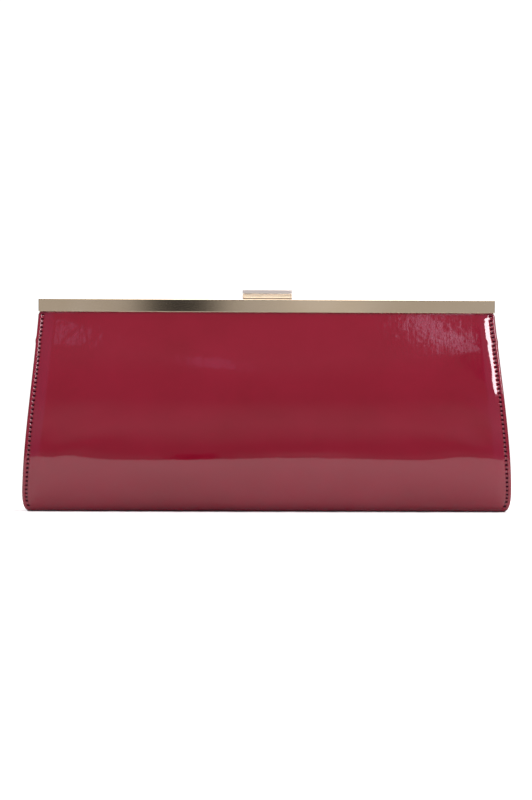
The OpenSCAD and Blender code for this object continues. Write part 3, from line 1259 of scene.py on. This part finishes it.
@dataclass
class Gusset:
    """An end of the bag: a sheet stitched to the panel's edge and folded inwards at the middle."""

    shape: BagShape
    bend: Bend
    palette: Palette
    end: End
    cut: GussetCut
    gap: float = 0.06 * MM
    edge_gap: float = 0.35 * MM
    edge_width: float = 4.5 * MM
    fold_power: float = 1.35
    fold_rise: float = 1.15
    ripple: float = 0.25 * MM
    ripple_length: float = 6.5 * MM
    ripple_z: tuple[float, float] = (20 * MM, 90 * MM)
    rows: int = 90
    columns: int = 30

    def points(self, s: Array, place: Array) -> tuple[Array, Array]:
        """One half of the gusset, in front of the fold, on the right-hand end.

        Up to the turn it lies flat behind the panel. Then x falls from the turn to the fold as a power of the
        share of y, which leaves a soft U there. A sine over the height ripples it between the two.

        Args:
            s: places along the profile.
            place: 0 at the outer edge to 1 on the fold.

        Returns:
            The points, and for each its share of the way from the fold to the panel.
        """
        cut, shape = self.cut, self.shape
        _, plain_z = shape.profile(s)
        sunk = cut.depth + shape.fall(shape.half_width(plain_z), plain_z)
        y, z = shape.inset(s, shape.leather + self.gap + sunk * shape.settled(plain_z))
        lift = z / shape.rail_z
        y = np.maximum(y, cut.least_y)
        turn_x = shape.half_width(z) - self.edge_width - cut.edge_in - cut.slope_in * lift
        edge_x = shape.outline(z) - self.edge_gap
        fold_x = shape.half_width(z) - self.edge_width - cut.fold_in
        fold_x = fold_x - cut.fold_depth * np.clip(lift * self.fold_rise, 0, 1)
        inner = np.clip((place - cut.flat) / (1 - cut.flat), 0, 1)
        share = 1 - inner
        x = fold_x + (turn_x - fold_x) * share**self.fold_power
        if cut.flat > 0:
            x = np.where(place < cut.flat, edge_x + (turn_x - edge_x) * place / cut.flat, x)
        between = 4 * share * inner * smooth(z, *self.ripple_z)
        x = x + self.ripple * np.sin(z / self.ripple_length) * between
        return np.stack([x, -y * share, z], axis=-1), share

    def build(self) -> list[bpy.types.Object]:
        """Makes the two halves, which meet along the fold.

        Returns:
            The front half, then the back half.
        """
        is_lining = self.cut is LINING_CUT
        top = self.shape.s_at(self.shape.rail_z - self.cut.top_in)
        rows = self.shape.spread(self.cut.start, top, self.rows)
        s, place = np.meshgrid(rows, np.linspace(0, 1, self.columns), indexing="ij")
        right_front, share = self.points(s, place)
        made = []
        for face in Face:
            points = right_front * np.array([self.end.value, -face.value, 1])
            name = f"{self.cut.word}_{self.end.word}_{face.word}"
            half = sheet_object(name, points, flip=self.end.value * face.value > 0)
            material = self.palette.lining if is_lining else self.palette.leather
            self.palette.dress(half, material, Slot.LINING if is_lining else Slot.LEATHER)
            self.bend.apply_folded(half, face, share)
            thicken(half, self.cut.thickness)
            made.append(half)
        if is_lining:
            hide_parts(f"gusset_lining_{self.end.word}")
        else:
            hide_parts(f"gusset_{self.end.word}", f"gusset_top_{self.end.word}")
        return made


@dataclass
class BasePanel:
    """The strip of leather underneath, butted between the two panels and lightly pillowed."""

    shape: BagShape
    palette: Palette
    pillow: float = 0.25 * MM
    pillow_power: int = 8
    gap: float = 0.06 * MM
    rows: int = 16
    columns: int = 120

    def build(self) -> list[bpy.types.Object]:
        """A sheet whose long edges lift off the ground as a power of the share of the way, like a butt seam.

        Returns:
            The strip.
        """
        half_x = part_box("base_panel")[1].x
        half_y = self.shape.base_half - self.gap
        across, x = np.meshgrid(
            np.linspace(-1, 1, self.rows), np.linspace(-half_x, half_x, self.columns), indexing="ij"
        )
        y = across * half_y
        z = self.pillow * (np.abs(y) / self.shape.base_half) ** self.pillow_power
        panel = sheet_object("base_panel_leather", np.stack([x, y, z], axis=-1), flip=True)
        self.palette.dress(panel, self.palette.leather, Slot.LEATHER)
        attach(panel, "bag")
        thicken(panel, self.shape.leather - self.pillow)
        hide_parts("base_panel")
        return [panel]


# ------------------------------------------------------------------------------
# Inside the bag
# ------------------------------------------------------------------------------


@dataclass
class Lining:
    """Half of the lining: one sheet from the middle of the base, up the board and into the rail."""

    shape: BagShape
    bend: Bend
    palette: Palette
    face: Face
    behind_board: float = 4.6 * MM
    behind_leather: float = 1.6 * MM
    leaves_board: tuple[float, float] = (-11 * MM, 0.0)
    narrows: tuple[float, float] = (3 * MM, -0.5 * MM)
    in_rail: float = 1.45 * MM
    into_rail: float = 5.2 * MM
    margin_low: float = 9.5 * MM
    margin_rise: float = 5 * MM
    slack: float = 0.35 * MM
    slack_low: tuple[float, float] = (8 * MM, 30 * MM)
    slack_high: tuple[float, float] = (80 * MM, 92 * MM)
    fold_length: float = 9 * MM
    wander: float = 1.5
    wander_length: float = 23 * MM
    gape: float = 1.6 * MM
    gape_power: float = 0.7
    pocket_gap: float = 0.15 * MM
    rows: int = 130
    columns: int = 120
    floor_rows: int = 9
    thickness: float = 0.5 * MM

    def half_width(self, z: Array) -> Array:
        """Half the sheet's width at height z: the outline less a margin that grows towards the rail."""
        lift = np.clip(z / self.shape.rail_z, 0, 1)
        return self.shape.half_width(z) - self.margin_low - self.margin_rise * lift

    def points(self, s: Array, across: Array) -> Array:
        """The side of the lining that faces the leather.

        It lies behind the board up to its top edge, comes out to the leather at the hinge, and narrows to the
        slot between the rail's wall and the steel strip. Its slack is a sine over x that wanders with height.

        Args:
            s: places along the profile.
            across: places from -1 to 1 across the sheet.

        Returns:
            The points, with x, y and z last.
        """
        _, plain_z = self.shape.profile(s)
        hinge_z = self.shape.hinge[2]
        nearing = smooth(plain_z, *(hinge_z + above for above in self.leaves_board))
        depth = self.behind_board + (self.behind_leather - self.behind_board) * nearing
        y, z = self.shape.inset(s, depth)
        narrow = smooth(plain_z, hinge_z + self.narrows[0], self.shape.rail_z + self.narrows[1])
        y = y + (self.in_rail + self.thickness - y) * narrow
        x = across * self.half_width(z)
        free = smooth(plain_z, *self.slack_low) * (1 - smooth(plain_z, *self.slack_high))
        fold = np.sin(x / self.fold_length + self.wander * np.sin(z / self.wander_length))
        y = y - self.slack * free * (1 + fold) / 2
        return np.stack([x, self.face.value * y, z], axis=-1)

    def build(self) -> list[bpy.types.Object]:
        """Makes the sheet with its share of the floor, and the slip pocket on the back.

        Returns:
            The sheet, and on the back the pocket.
        """
        top = self.shape.s_at(self.shape.rail_z + self.into_rail)
        s, across = np.meshgrid(
            self.shape.spread(0, top, self.rows), np.linspace(-1, 1, self.columns), indexing="ij"
        )
        wall = self.points(s, across)
        share = np.linspace(0, 1, self.floor_rows, endpoint=False)[:, None, None]
        floor = wall[:1] * np.array([1, 0, 1]) + share * (wall[:1] * np.array([0, 1, 0]))
        word = self.face.word
        points = np.concatenate([floor, wall])
        sheet = sheet_object(f"{word}_lining_cloth", points, flip=self.face is Face.BACK)
        self.palette.dress(sheet, self.palette.lining, Slot.LINING)
        self.bend.apply(sheet, self.face)
        thicken(sheet, self.thickness)
        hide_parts(f"{word}_lining", f"{word}_lining_top")
        if self.face is Face.BACK:
            return [sheet, self.pocket()]
        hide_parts("base_lining")
        return [sheet]

    def pocket(self) -> bpy.types.Object:
        """A slip pocket: a patch of the same cloth, sewn on three sides, that gapes a little at its top edge.

        Returns:
            The patch.
        """
        low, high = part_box("slip_pocket")
        up = self.shape.spread(self.shape.s_at(low.z), self.shape.s_at(high.z), 40)
        s, x = np.meshgrid(up, np.linspace(low.x, high.x, 60), indexing="ij")
        _, z = self.shape.inset(s, self.behind_board)
        wall = self.points(s, x / self.half_width(z))
        rise = smooth(s, s[0, 0], s[-1, 0])
        open_by = self.gape * rise * np.clip(1 - (x / high.x) ** 2, 0, 1) ** self.gape_power
        wall[..., 1] -= open_by + self.thickness + self.pocket_gap
        patch = sheet_object("slip_pocket_cloth", wall, flip=True)
        self.palette.dress(patch, self.palette.lining, Slot.LINING)
        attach(patch, "bag")
        thicken(patch, self.thickness)
        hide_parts("slip_pocket")
        return patch


@dataclass
class Padding:
    """Thin foam between the leather and the board of one face."""

    shape: BagShape
    palette: Palette
    face: Face
    inset: float = 1.35 * MM
    thickness: float = 1.8 * MM
    margin_low: float = 7 * MM
    margin_rise: float = 7 * MM
    start: float = 0.05
    fill: float = 0.8

    def build(self) -> list[bpy.types.Object]:
        """A curved sheet that follows the leather's inner side.

        Returns:
            The foam.
        """
        shape, word = self.shape, self.face.word
        top = shape.s_at(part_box(f"{word}_padding")[1].z)
        s, across = np.meshgrid(shape.spread(self.start, top, 60), np.linspace(-1, 1, 80), indexing="ij")
        _, z = shape.profile(s)
        margin = self.margin_low + self.margin_rise * z / shape.rail_z
        x = across * (shape.outline(z) - margin)
        y, z = shape.inset(s, self.inset + shape.fall(x, z))
        points = np.stack([x, self.face.value * y, z], axis=-1)
        pad = sheet_object(f"{word}_padding_foam", points, flip=self.face is Face.BACK)
        self.palette.dress(pad, self.palette.foam, Slot.FOAM)
        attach(pad, "bag")
        thicken(pad, self.thickness)
        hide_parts(f"{word}_padding")
        return [pad]


# ------------------------------------------------------------------------------
# Metal
# ------------------------------------------------------------------------------


@dataclass
class Rail:
    """One gold rail: a folded channel with a capped end at each side."""

    palette: Palette
    face: Face
    wall: float = 0.8 * MM
    fold_radius: float = 0.32 * MM
    inner_radius: float = 0.15 * MM
    lip_radius: float = 0.08 * MM
    cap: float = 0.8 * MM
    cap_overlap: float = 0.3 * MM
    end_radius: float = 0.5 * MM
    crimp: float = CRIMP
    columns: int = 60

    def crimped(self, outline: Array, low: Array, high: Array) -> Array:
        """Squeezes the outer wall in towards its lip and turns the outline to this face.

        y moves by crimp times the share of the way down times the share of the way from the inner wall.

        Args:
            outline: points (y, z) of the front rail.
            low: least y and z of its box.
            high: greatest y and z.

        Returns:
            The points of this rail.
        """
        down = (high[1] - outline[:, 1]) / (high[1] - low[1])
        outer = (high[0] - outline[:, 0]) / (high[0] - low[0])
        y = outline[:, 0] + self.crimp * down * outer
        return np.stack([-self.face.value * y, outline[:, 1]], axis=1)

    def outside(self, low: Array, high: Array, lip_steps: int, fold_steps: int) -> Array:
        """The outer side of the section: up from one lip, over the top and down to the other.

        Args:
            low: least y and z of the front rail's box.
            high: greatest y and z.
            lip_steps: points on each rounded lip.
            fold_steps: points on each rounded fold.

        Returns:
            Points (y, z).
        """
        fold, lip = self.fold_radius, self.lip_radius
        (y0, z0), (y1, z1) = low, high
        return np.concatenate([
            arc((y0 + lip, z0 + lip), lip, 270, 180, lip_steps),
            arc((y0 + fold, z1 - fold), fold, 180, 90, fold_steps),
            arc((y1 - fold, z1 - fold), fold, 90, 0, fold_steps),
            arc((y1 - lip, z0 + lip), lip, 0, -90, lip_steps),
        ])

    def section(self, low: Array, high: Array) -> Array:
        """The channel's closed outline: its outer side, and back along the inside of its walls.

        Args:
            low: least y and z of the front rail's box.
            high: greatest y and z.

        Returns:
            Points (y, z).
        """
        lip, inner = self.lip_radius, self.inner_radius
        y0, y1 = low[0] + self.wall, high[0] - self.wall
        z0, z1 = low[1], high[1] - self.wall
        outside = np.concatenate([self.outside(low, high, 7, 9), [[y1 + lip, z0]]])
        inside = [
            [[y1, z0 + lip]],
            arc((y1 - inner, z1 - inner), inner, 0, 90, 4),
            arc((y0 + inner, z1 - inner), inner, 90, 180, 4),
            [[y0, z0 + lip], [y0 - lip, z0]],
        ]
        return self.crimped(np.concatenate([filled(outside), *inside]), low, high)

    def build(self) -> list[bpy.types.Object]:
        """Carries the section along X and closes each end with a rounded plate.

        Returns:
            The rail.
        """
        box_low, box_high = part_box("front_rail")
        low, high = np.array(box_low[1:]), np.array(box_high[1:])
        section = self.section(low, high)
        reach = self.cap - self.cap_overlap
        x = np.linspace(box_low.x + reach, box_high.x - reach, self.columns)
        # A row just inside each end keeps the shading of the long faces flat
        rim = 0.02 * MM
        x = np.concatenate([x[:1], x[:1] + rim, x[1:-1], x[-1:] - rim, x[-1:]])
        tube = np.broadcast_to(section, (len(x), *section.shape))
        channel = np.concatenate([np.broadcast_to(x[:, None, None], (*tube.shape[:2], 1)), tube], axis=2)
        plate = self.crimped(filled(self.outside(low, high, 5, 7)), low, high)
        plates = [
            rounded_bar(plate, box_low.x, box_low.x + self.cap, self.end_radius),
            rounded_bar(plate, box_high.x - self.cap, box_high.x, self.end_radius),
        ]
        rail = closed_object(f"{self.face.word}_rail_channel", [channel, *plates])
        self.palette.dress(rail, self.palette.gold, Slot.GOLD)
        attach(rail, self.face.body)
        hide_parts(f"{self.face.word}_rail")
        return [rail]


@dataclass
class Clasp:
    """The bar clasp: a leaning bar on the front rail, and a hook behind it with a rolled lip over the bar."""

    palette: Palette
    lean: float = 0.42 * MM
    foot_height: float = 0.95 * MM
    edge: float = 0.20 * MM
    lip_lean: float = 0.30 * MM
    lip_gap: float = 0.3 * MM
    lip_edge: float = 0.3 * MM
    plate_y: float = 0.35 * MM
    plate: float = 1.6 * MM
    foot_rise: float = 2 * MM
    foot_slope: float = 0.3 * MM
    foot_inset: float = 0.2 * MM

    def bar(self) -> bpy.types.Object:
        """The front bar: a face that leans forward towards its top, over an upright foot.

        Returns:
            The bar.
        """
        low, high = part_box("clasp_front_bar")
        r = self.edge
        foot_y, foot_z = low.y + self.lean, low.z + self.foot_height
        step = 0.1 * MM
        outline = np.concatenate([
            [[foot_y, low.z], [foot_y, foot_z]],
            arc((foot_y + r, foot_z + step + r), r, 260, 200, 6),
            arc((low.y + r, high.z - r), r, 195, 90, 7),
            arc((high.y - r, high.z - r), r, 90, 0, 6),
            [[high.y, low.z]],
        ])
        bar = closed_object("clasp_bar", [rounded_bar(filled(outline), low.x, high.x, r, 6)])
        self.palette.dress(bar, self.palette.bar, Slot.GOLD)
        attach(bar, "front_frame")
        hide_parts("clasp_front_bar")
        return bar

    def hook(self) -> bpy.types.Object:
        """The back hook: a foot and an upright plate, and a lip rolled forward over the bar.

        Returns:
            The hook.
        """
        low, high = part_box("clasp_back_hook")
        rail_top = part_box("back_rail")[1].z
        lip_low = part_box("clasp_front_bar")[1].z + self.lip_gap
        r, front_y, back_y = self.lip_edge, self.plate_y, self.plate_y + self.plate
        foot_top = rail_top + self.foot_rise
        lip = np.concatenate([
            arc((low.y + r, lip_low + r), r, 270, 187, 7),
            arc((low.y + self.lip_lean + r, high.z - r), r, 173, 90, 7),
            arc((back_y - r, high.z - r), r, 90, 0, 6),
            arc((back_y - r, lip_low + r), r, 0, -90, 6),
        ])
        plate_top = lip_low + r
        upright = [[front_y, rail_top], [front_y, plate_top], [back_y, plate_top], [back_y, rail_top]]
        foot_back = foot_top - self.foot_slope
        foot = [[front_y, rail_top], [front_y, foot_top], [high.y, foot_back], [high.y, rail_top]]
        bars = [rounded_bar(filled(lip), low.x, high.x, 2 * r, 8)]
        for outline in (upright, foot):
            x_low, x_high = low.x + self.foot_inset, high.x - self.foot_inset
            bars.append(rounded_bar(filled(np.array(outline)), x_low, x_high, r))
        hook = closed_object("clasp_hook", bars)
        self.palette.dress(hook, self.palette.hook, Slot.GOLD)
        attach(hook, "back_frame")
        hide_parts("clasp_back_hook")
        return hook

    def build(self) -> list[bpy.types.Object]:
        """Makes both parts of the clasp."""
        return [self.bar(), self.hook()]


@dataclass
class HingeRivet:
    """The domed rivet at one end, which both arms of the frame turn on."""

    palette: Palette
    end: End
    shank_radius: float = 1.25 * MM
    head: float = 0.9 * MM
    chamfer: float = 0.2 * MM
    rim: float = 0.15 * MM
    dome: float = 0.75 * MM

    def build(self) -> list[bpy.types.Object]:
        """A flat head inside, a shank, and a domed head outside, turned as one.

        Returns:
            The rivet.
        """
        low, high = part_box(f"hinge_rivet_{self.end.word}")
        radius = (high.z - low.z) / 2
        middle = (low + high) / 2
        inner_x = low.x if self.end is End.RIGHT else high.x
        turn = np.radians(np.linspace(0, 90, 9))
        under = high.x - low.x - self.head
        dome = np.stack([under + self.rim + self.dome * np.sin(turn), radius * np.cos(turn)], axis=1)
        profile = np.concatenate([
            [[0, 0], [0, radius - self.chamfer], [self.chamfer, radius], [self.head, radius]],
            [[self.head, self.shank_radius], [under, self.shank_radius], [under, radius]],
            dome,
        ])
        shape = turned(profile, (inner_x, middle.y, middle.z), self.end.value)
        rivet = closed_object(f"hinge_rivet_domed_{self.end.word}", [shape])
        self.palette.dress(rivet, self.palette.gold, Slot.GOLD)
        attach(rivet, "bag")
        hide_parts(f"hinge_rivet_{self.end.word}")
        return [rivet]


# ------------------------------------------------------------------------------
# Studio
# ------------------------------------------------------------------------------


@dataclass(frozen=True)
class SoftBox:
    """An area light aimed at the bag.

    azimuth is in degrees from straight in front, positive to the right; elevation is above the horizon. A
    radiance of 1 looks white.
    """

    name: str
    azimuth: float
    elevation: float
    away: float
    size: tuple[float, float]
    radiance: float
    colour: str = "#ffffff"
    aim_z: float = 0.07

    def build(self) -> None:
        """Adds the light; its power is its radiance times pi times its area."""
        a, e = math.radians(self.azimuth), math.radians(self.elevation)
        data = bpy.data.lights.new(self.name, "AREA")
        data.shape = "RECTANGLE"
        data.size, data.size_y = self.size
        data.energy = self.radiance * math.pi * data.size * data.size_y
        data.color = linear(self.colour)[:3]
        lamp = bpy.data.objects.new(self.name, data)
        direction = np.array([math.sin(a) * math.cos(e), -math.cos(a) * math.cos(e), math.sin(e)])
        lamp.location = direction * self.away + np.array([0, 0, self.aim_z])
        lamp.rotation_euler = (math.pi / 2 - e, 0, a)
        bpy.context.scene.collection.objects.link(lamp)


@dataclass(frozen=True)
class Glow:
    """A soft-edged patch of the room that the bag mirrors: a lamp when its level is above 0, a flag below 0.

    Angles are in degrees. slant moves the patch sideways by that much for each degree of elevation.
    """

    azimuth: float
    elevation: float
    width: float
    height: float
    level: float
    colour: str = "#ffffff"
    soft: float = 1.0
    slant: float = 0.0

    def over(self, tree: bpy.types.NodeTree, light: Any, azimuth: Any, elevation: Any) -> Any:
        """Lays the patch over the room's light: a lamp adds its colour, a flag blends to black.

        Args:
            tree: the world's node tree.
            light: the socket with the light so far.
            azimuth: the socket with the azimuth in degrees.
            elevation: the socket with the elevation in degrees.

        Returns:
            The socket with the new light.
        """
        rise = add_node(tree, MATH, {"operation": "SUBTRACT"}, {0: elevation, 1: self.elevation}).outputs[0]
        aside = add_node(tree, MATH, {"operation": "SUBTRACT"}, {0: azimuth, 1: self.azimuth}).outputs[0]
        lean = {0: rise, 1: -self.slant, 2: aside}
        aside = add_node(tree, MATH, {"operation": "MULTIPLY_ADD"}, lean).outputs[0]
        across = near(tree, aside, self.width / 2, self.soft)
        along = near(tree, rise, self.height / 2, self.soft)
        share = add_node(tree, MATH, {"operation": "MULTIPLY"}, {0: across, 1: along}).outputs[0]
        lamp = self.level > 0
        if not lamp:
            flag = {0: share, 1: -self.level}
            share = add_node(tree, MATH, {"operation": "MULTIPLY"}, flag).outputs[0]
        shown = [max(self.level, 0.0) * part for part in linear(self.colour)[:3]]
        # A colour mix takes its share at socket 0 and its colours at 6 and 7, and gives the result at 2
        settings = {"data_type": "RGBA", "blend_type": "ADD" if lamp else "MIX"}
        return add_node(tree, "ShaderNodeMix", settings, {0: share, 6: light, 7: (*shown, 1.0)}).outputs[2]


@dataclass
class Studio:
    """A pale table top that ends a little in front of the bag, soft boxes, a dim room and the camera."""

    distance: float = 1.30
    aside: float = -0.6 * MM
    turn: float = 1.5
    roll: float = 0.19
    eye_height: float = 0.050
    view_height: float = 0.4725
    aim_z: float = 0.0656
    sensor: float = 36.0
    table_front: float = -0.27
    table_back: float = 1.0
    table_half: float = 1.2
    table_colour: str = "#e8e8e8"
    backdrop: float = 1.1
    boxes: tuple[SoftBox, ...] = (
        SoftBox("overhead soft box", 0, 76, 1.5, (1.5, 1.0), 6.2),
        SoftBox("right soft box", 44.5, 36, 2.2, (0.38, 0.78), 24.0, "#fff6fb"),
        SoftBox("back soft box", 180, 62, 1.9, (3.0, 1.2), 3.6),
    )
    # Elevation in degrees and the room's grey there
    room: tuple[tuple[float, float], ...] = (
        (-90, 0.25), (-24, 0.44), (-4, 0.44), (-2, 0.28), (2, 0.28), (7, 0.46), (14, 0.60), (21, 0.52),
        (27, 0.33), (36, 0.34), (43, 0.45), (60, 0.30), (90, 0.6),
    )
    glows: tuple[Glow, ...] = (
        Glow(-0.75, -6.0, 1.5, 6.0, -1.0, soft=0.5),
        Glow(3.1, -6.0, 1.4, 6.0, 0.14, soft=0.7),
        Glow(9.3, 46.2, 0.3, 7.6, 4.4, "#f6dcff", soft=0.3, slant=-0.2),
        Glow(9.9, 46.4, 0.5, 1.0, 1.8, "#f0ecff", soft=0.4),
        Glow(12.6, 41.0, 3.6, 12.0, -0.6, soft=1.6),
        Glow(-0.4, 41.5, 0.8, 2.5, 0.55, "#ffb8ff", soft=0.8),
        Glow(-5.9, 46.5, 0.3, 4.0, 1.4, "#f3c8ff", soft=0.35),
        Glow(-30.0, 20.0, 28.0, 50.0, 0.30, "#c8a8ff", soft=8.0),
        Glow(30.0, 20.0, 28.0, 50.0, 0.30, "#c8a8ff", soft=8.0),
    )

    def camera(self) -> None:
        """Looks from low down and a little to the bag's left, so that its left end is nearer."""
        data = bpy.data.cameras.new("camera")
        data.sensor_width = self.sensor
        data.lens = self.sensor * self.distance / self.view_height
        data.clip_end = 20.0
        seen = bpy.data.objects.new("camera", data)
        angle = math.radians(self.turn)
        place = Matrix.Translation((
            self.aside - math.sin(angle) * self.distance,
            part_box("front_rail")[0].y - math.cos(angle) * self.distance,
            self.eye_height,
        ))
        tilt = math.atan2(self.aim_z - self.eye_height, self.distance)
        heading = Matrix.Rotation(-angle, 4, "Z") @ Matrix.Rotation(math.pi / 2 + tilt, 4, "X")
        seen.matrix_world = place @ heading @ Matrix.Rotation(math.radians(self.roll), 4, "Z")
        bpy.context.scene.collection.objects.link(seen)
        bpy.context.scene.camera = seen

    def table(self) -> None:
        """A large table top of pale laminate under the bag."""
        half, front, back = self.table_half, self.table_front, self.table_back
        corners = np.array([[-half, front, 0], [half, front, 0], [half, back, 0], [-half, back, 0]])
        top = make_object("table_top", corners, np.array([[0, 1, 2, 3]]))
        white = bpy.data.materials.new("white laminate")
        white.use_nodes = True
        shader = white.node_tree.nodes["Principled BSDF"]
        feed(white.node_tree, shader, {"Base Color": linear(self.table_colour), "Roughness": 0.6})
        top.data.materials.append(white)

    def world(self) -> None:
        """A dim room with bands and glows for the lacquer to mirror, and white where the camera looks."""
        room = bpy.data.worlds.new("studio room")
        bpy.context.scene.world = room
        room.use_nodes = True
        tree = room.node_tree
        tree.nodes.clear()
        direction = add_node(tree, "ShaderNodeTexCoord").outputs["Generated"]
        axes = add_node(tree, "ShaderNodeSeparateXYZ", sockets={0: direction}).outputs
        forward = add_node(tree, MATH, {"operation": "MULTIPLY"}, {0: axes["Y"], 1: -1.0}).outputs[0]
        turn = add_node(tree, MATH, {"operation": "ARCTAN2"}, {0: axes["X"], 1: forward}).outputs[0]
        rise = add_node(tree, MATH, {"operation": "ARCSINE"}, {0: axes["Z"]}).outputs[0]
        azimuth = add_node(tree, MATH, {"operation": "DEGREES"}, {0: turn}).outputs[0]
        elevation = add_node(tree, MATH, {"operation": "DEGREES"}, {0: rise}).outputs[0]
        light = self.bands(tree, elevation)
        for glow in self.glows:
            light = glow.over(tree, light, azimuth, elevation)
        dim = add_node(tree, "ShaderNodeBackground", sockets={"Color": light, "Strength": 1.0})
        shown = {"Color": (1, 1, 1, 1), "Strength": self.backdrop}
        white = add_node(tree, "ShaderNodeBackground", sockets=shown)
        seen = add_node(tree, "ShaderNodeLightPath").outputs["Is Camera Ray"]
        shaders = {0: seen, 1: dim.outputs[0], 2: white.outputs[0]}
        mix = add_node(tree, "ShaderNodeMixShader", sockets=shaders)
        add_node(tree, "ShaderNodeOutputWorld", sockets={"Surface": mix.outputs[0]})
        bpy.context.scene.view_settings.view_transform = "Standard"

    def bands(self, tree: bpy.types.NodeTree, elevation: Any) -> Any:
        """The room's grey at each elevation, from the table of angles and levels.

        Args:
            tree: the world's node tree.
            elevation: the socket with the elevation in degrees.

        Returns:
            The socket with the grey.
        """
        sockets = {"Value": elevation, "From Min": -90.0, "From Max": 90.0, "To Min": 0.0, "To Max": 1.0}
        share = add_node(tree, "ShaderNodeMapRange", sockets=sockets).outputs[0]
        ramp = add_node(tree, "ShaderNodeValToRGB", sockets={"Fac": share})
        elements = ramp.color_ramp.elements
        for angle, _ in self.room[1:-1]:
            elements.new((angle + 90) / 180)
        for element, (_, level) in zip(elements, self.room):
            element.color = (level, level, level, 1)
        return ramp.outputs[0]

    def build(self) -> None:
        """Sets up the whole studio."""
        self.camera()
        self.table()
        self.world()
        for box in self.boxes:
            box.build()


# ------------------------------------------------------------------------------


def build_bag(palette: Palette) -> None:
    """Builds every piece of the bag in order.

    Args:
        palette: the materials.
    """
    shape = BagShape()
    bend = Bend(shape)
    builders: list[Any] = []
    for face in Face:
        builders += [LeatherPanel(shape, bend, palette, face), Lining(shape, bend, palette, face)]
        builders += [Padding(shape, palette, face), Rail(palette, face)]
    for end in End:
        builders += [Gusset(shape, bend, palette, end, OUTER_CUT), HingeRivet(palette, end)]
        builders += [Gusset(shape, bend, palette, end, LINING_CUT)]
    builders += [BasePanel(shape, palette), Clasp(palette)]
    for builder in builders:
        for piece in builder.build():
            LOG.info("%s: %d faces", piece.name, len(piece.data.polygons))


def dress_frame(palette: Palette) -> None:
    """Gives the CAD nodes that stay their own materials.

    Args:
        palette: the materials.
    """
    for word in ("front", "back"):
        palette.dress_node(f"{word}_board", palette.board)
        palette.dress_node(f"{word}_inner_frame", palette.steel)
        palette.dress_node(f"{word}_crimp_cord", palette.paper)
        palette.dress_node(f"clasp_{word}_rivets", palette.steel)
    palette.dress_node("base_board", palette.board)
    for end in End:
        palette.dress_node(f"hinge_washer_{end.word}", palette.steel)


def main() -> None:
    """Builds the studio and the bag."""
    logging.basicConfig(level=logging.INFO, format="%(name)s %(message)s")
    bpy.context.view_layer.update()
    Studio().build()
    palette = Palette()
    build_bag(palette)
    dress_frame(palette)


if __name__ == "__main__":
    main()
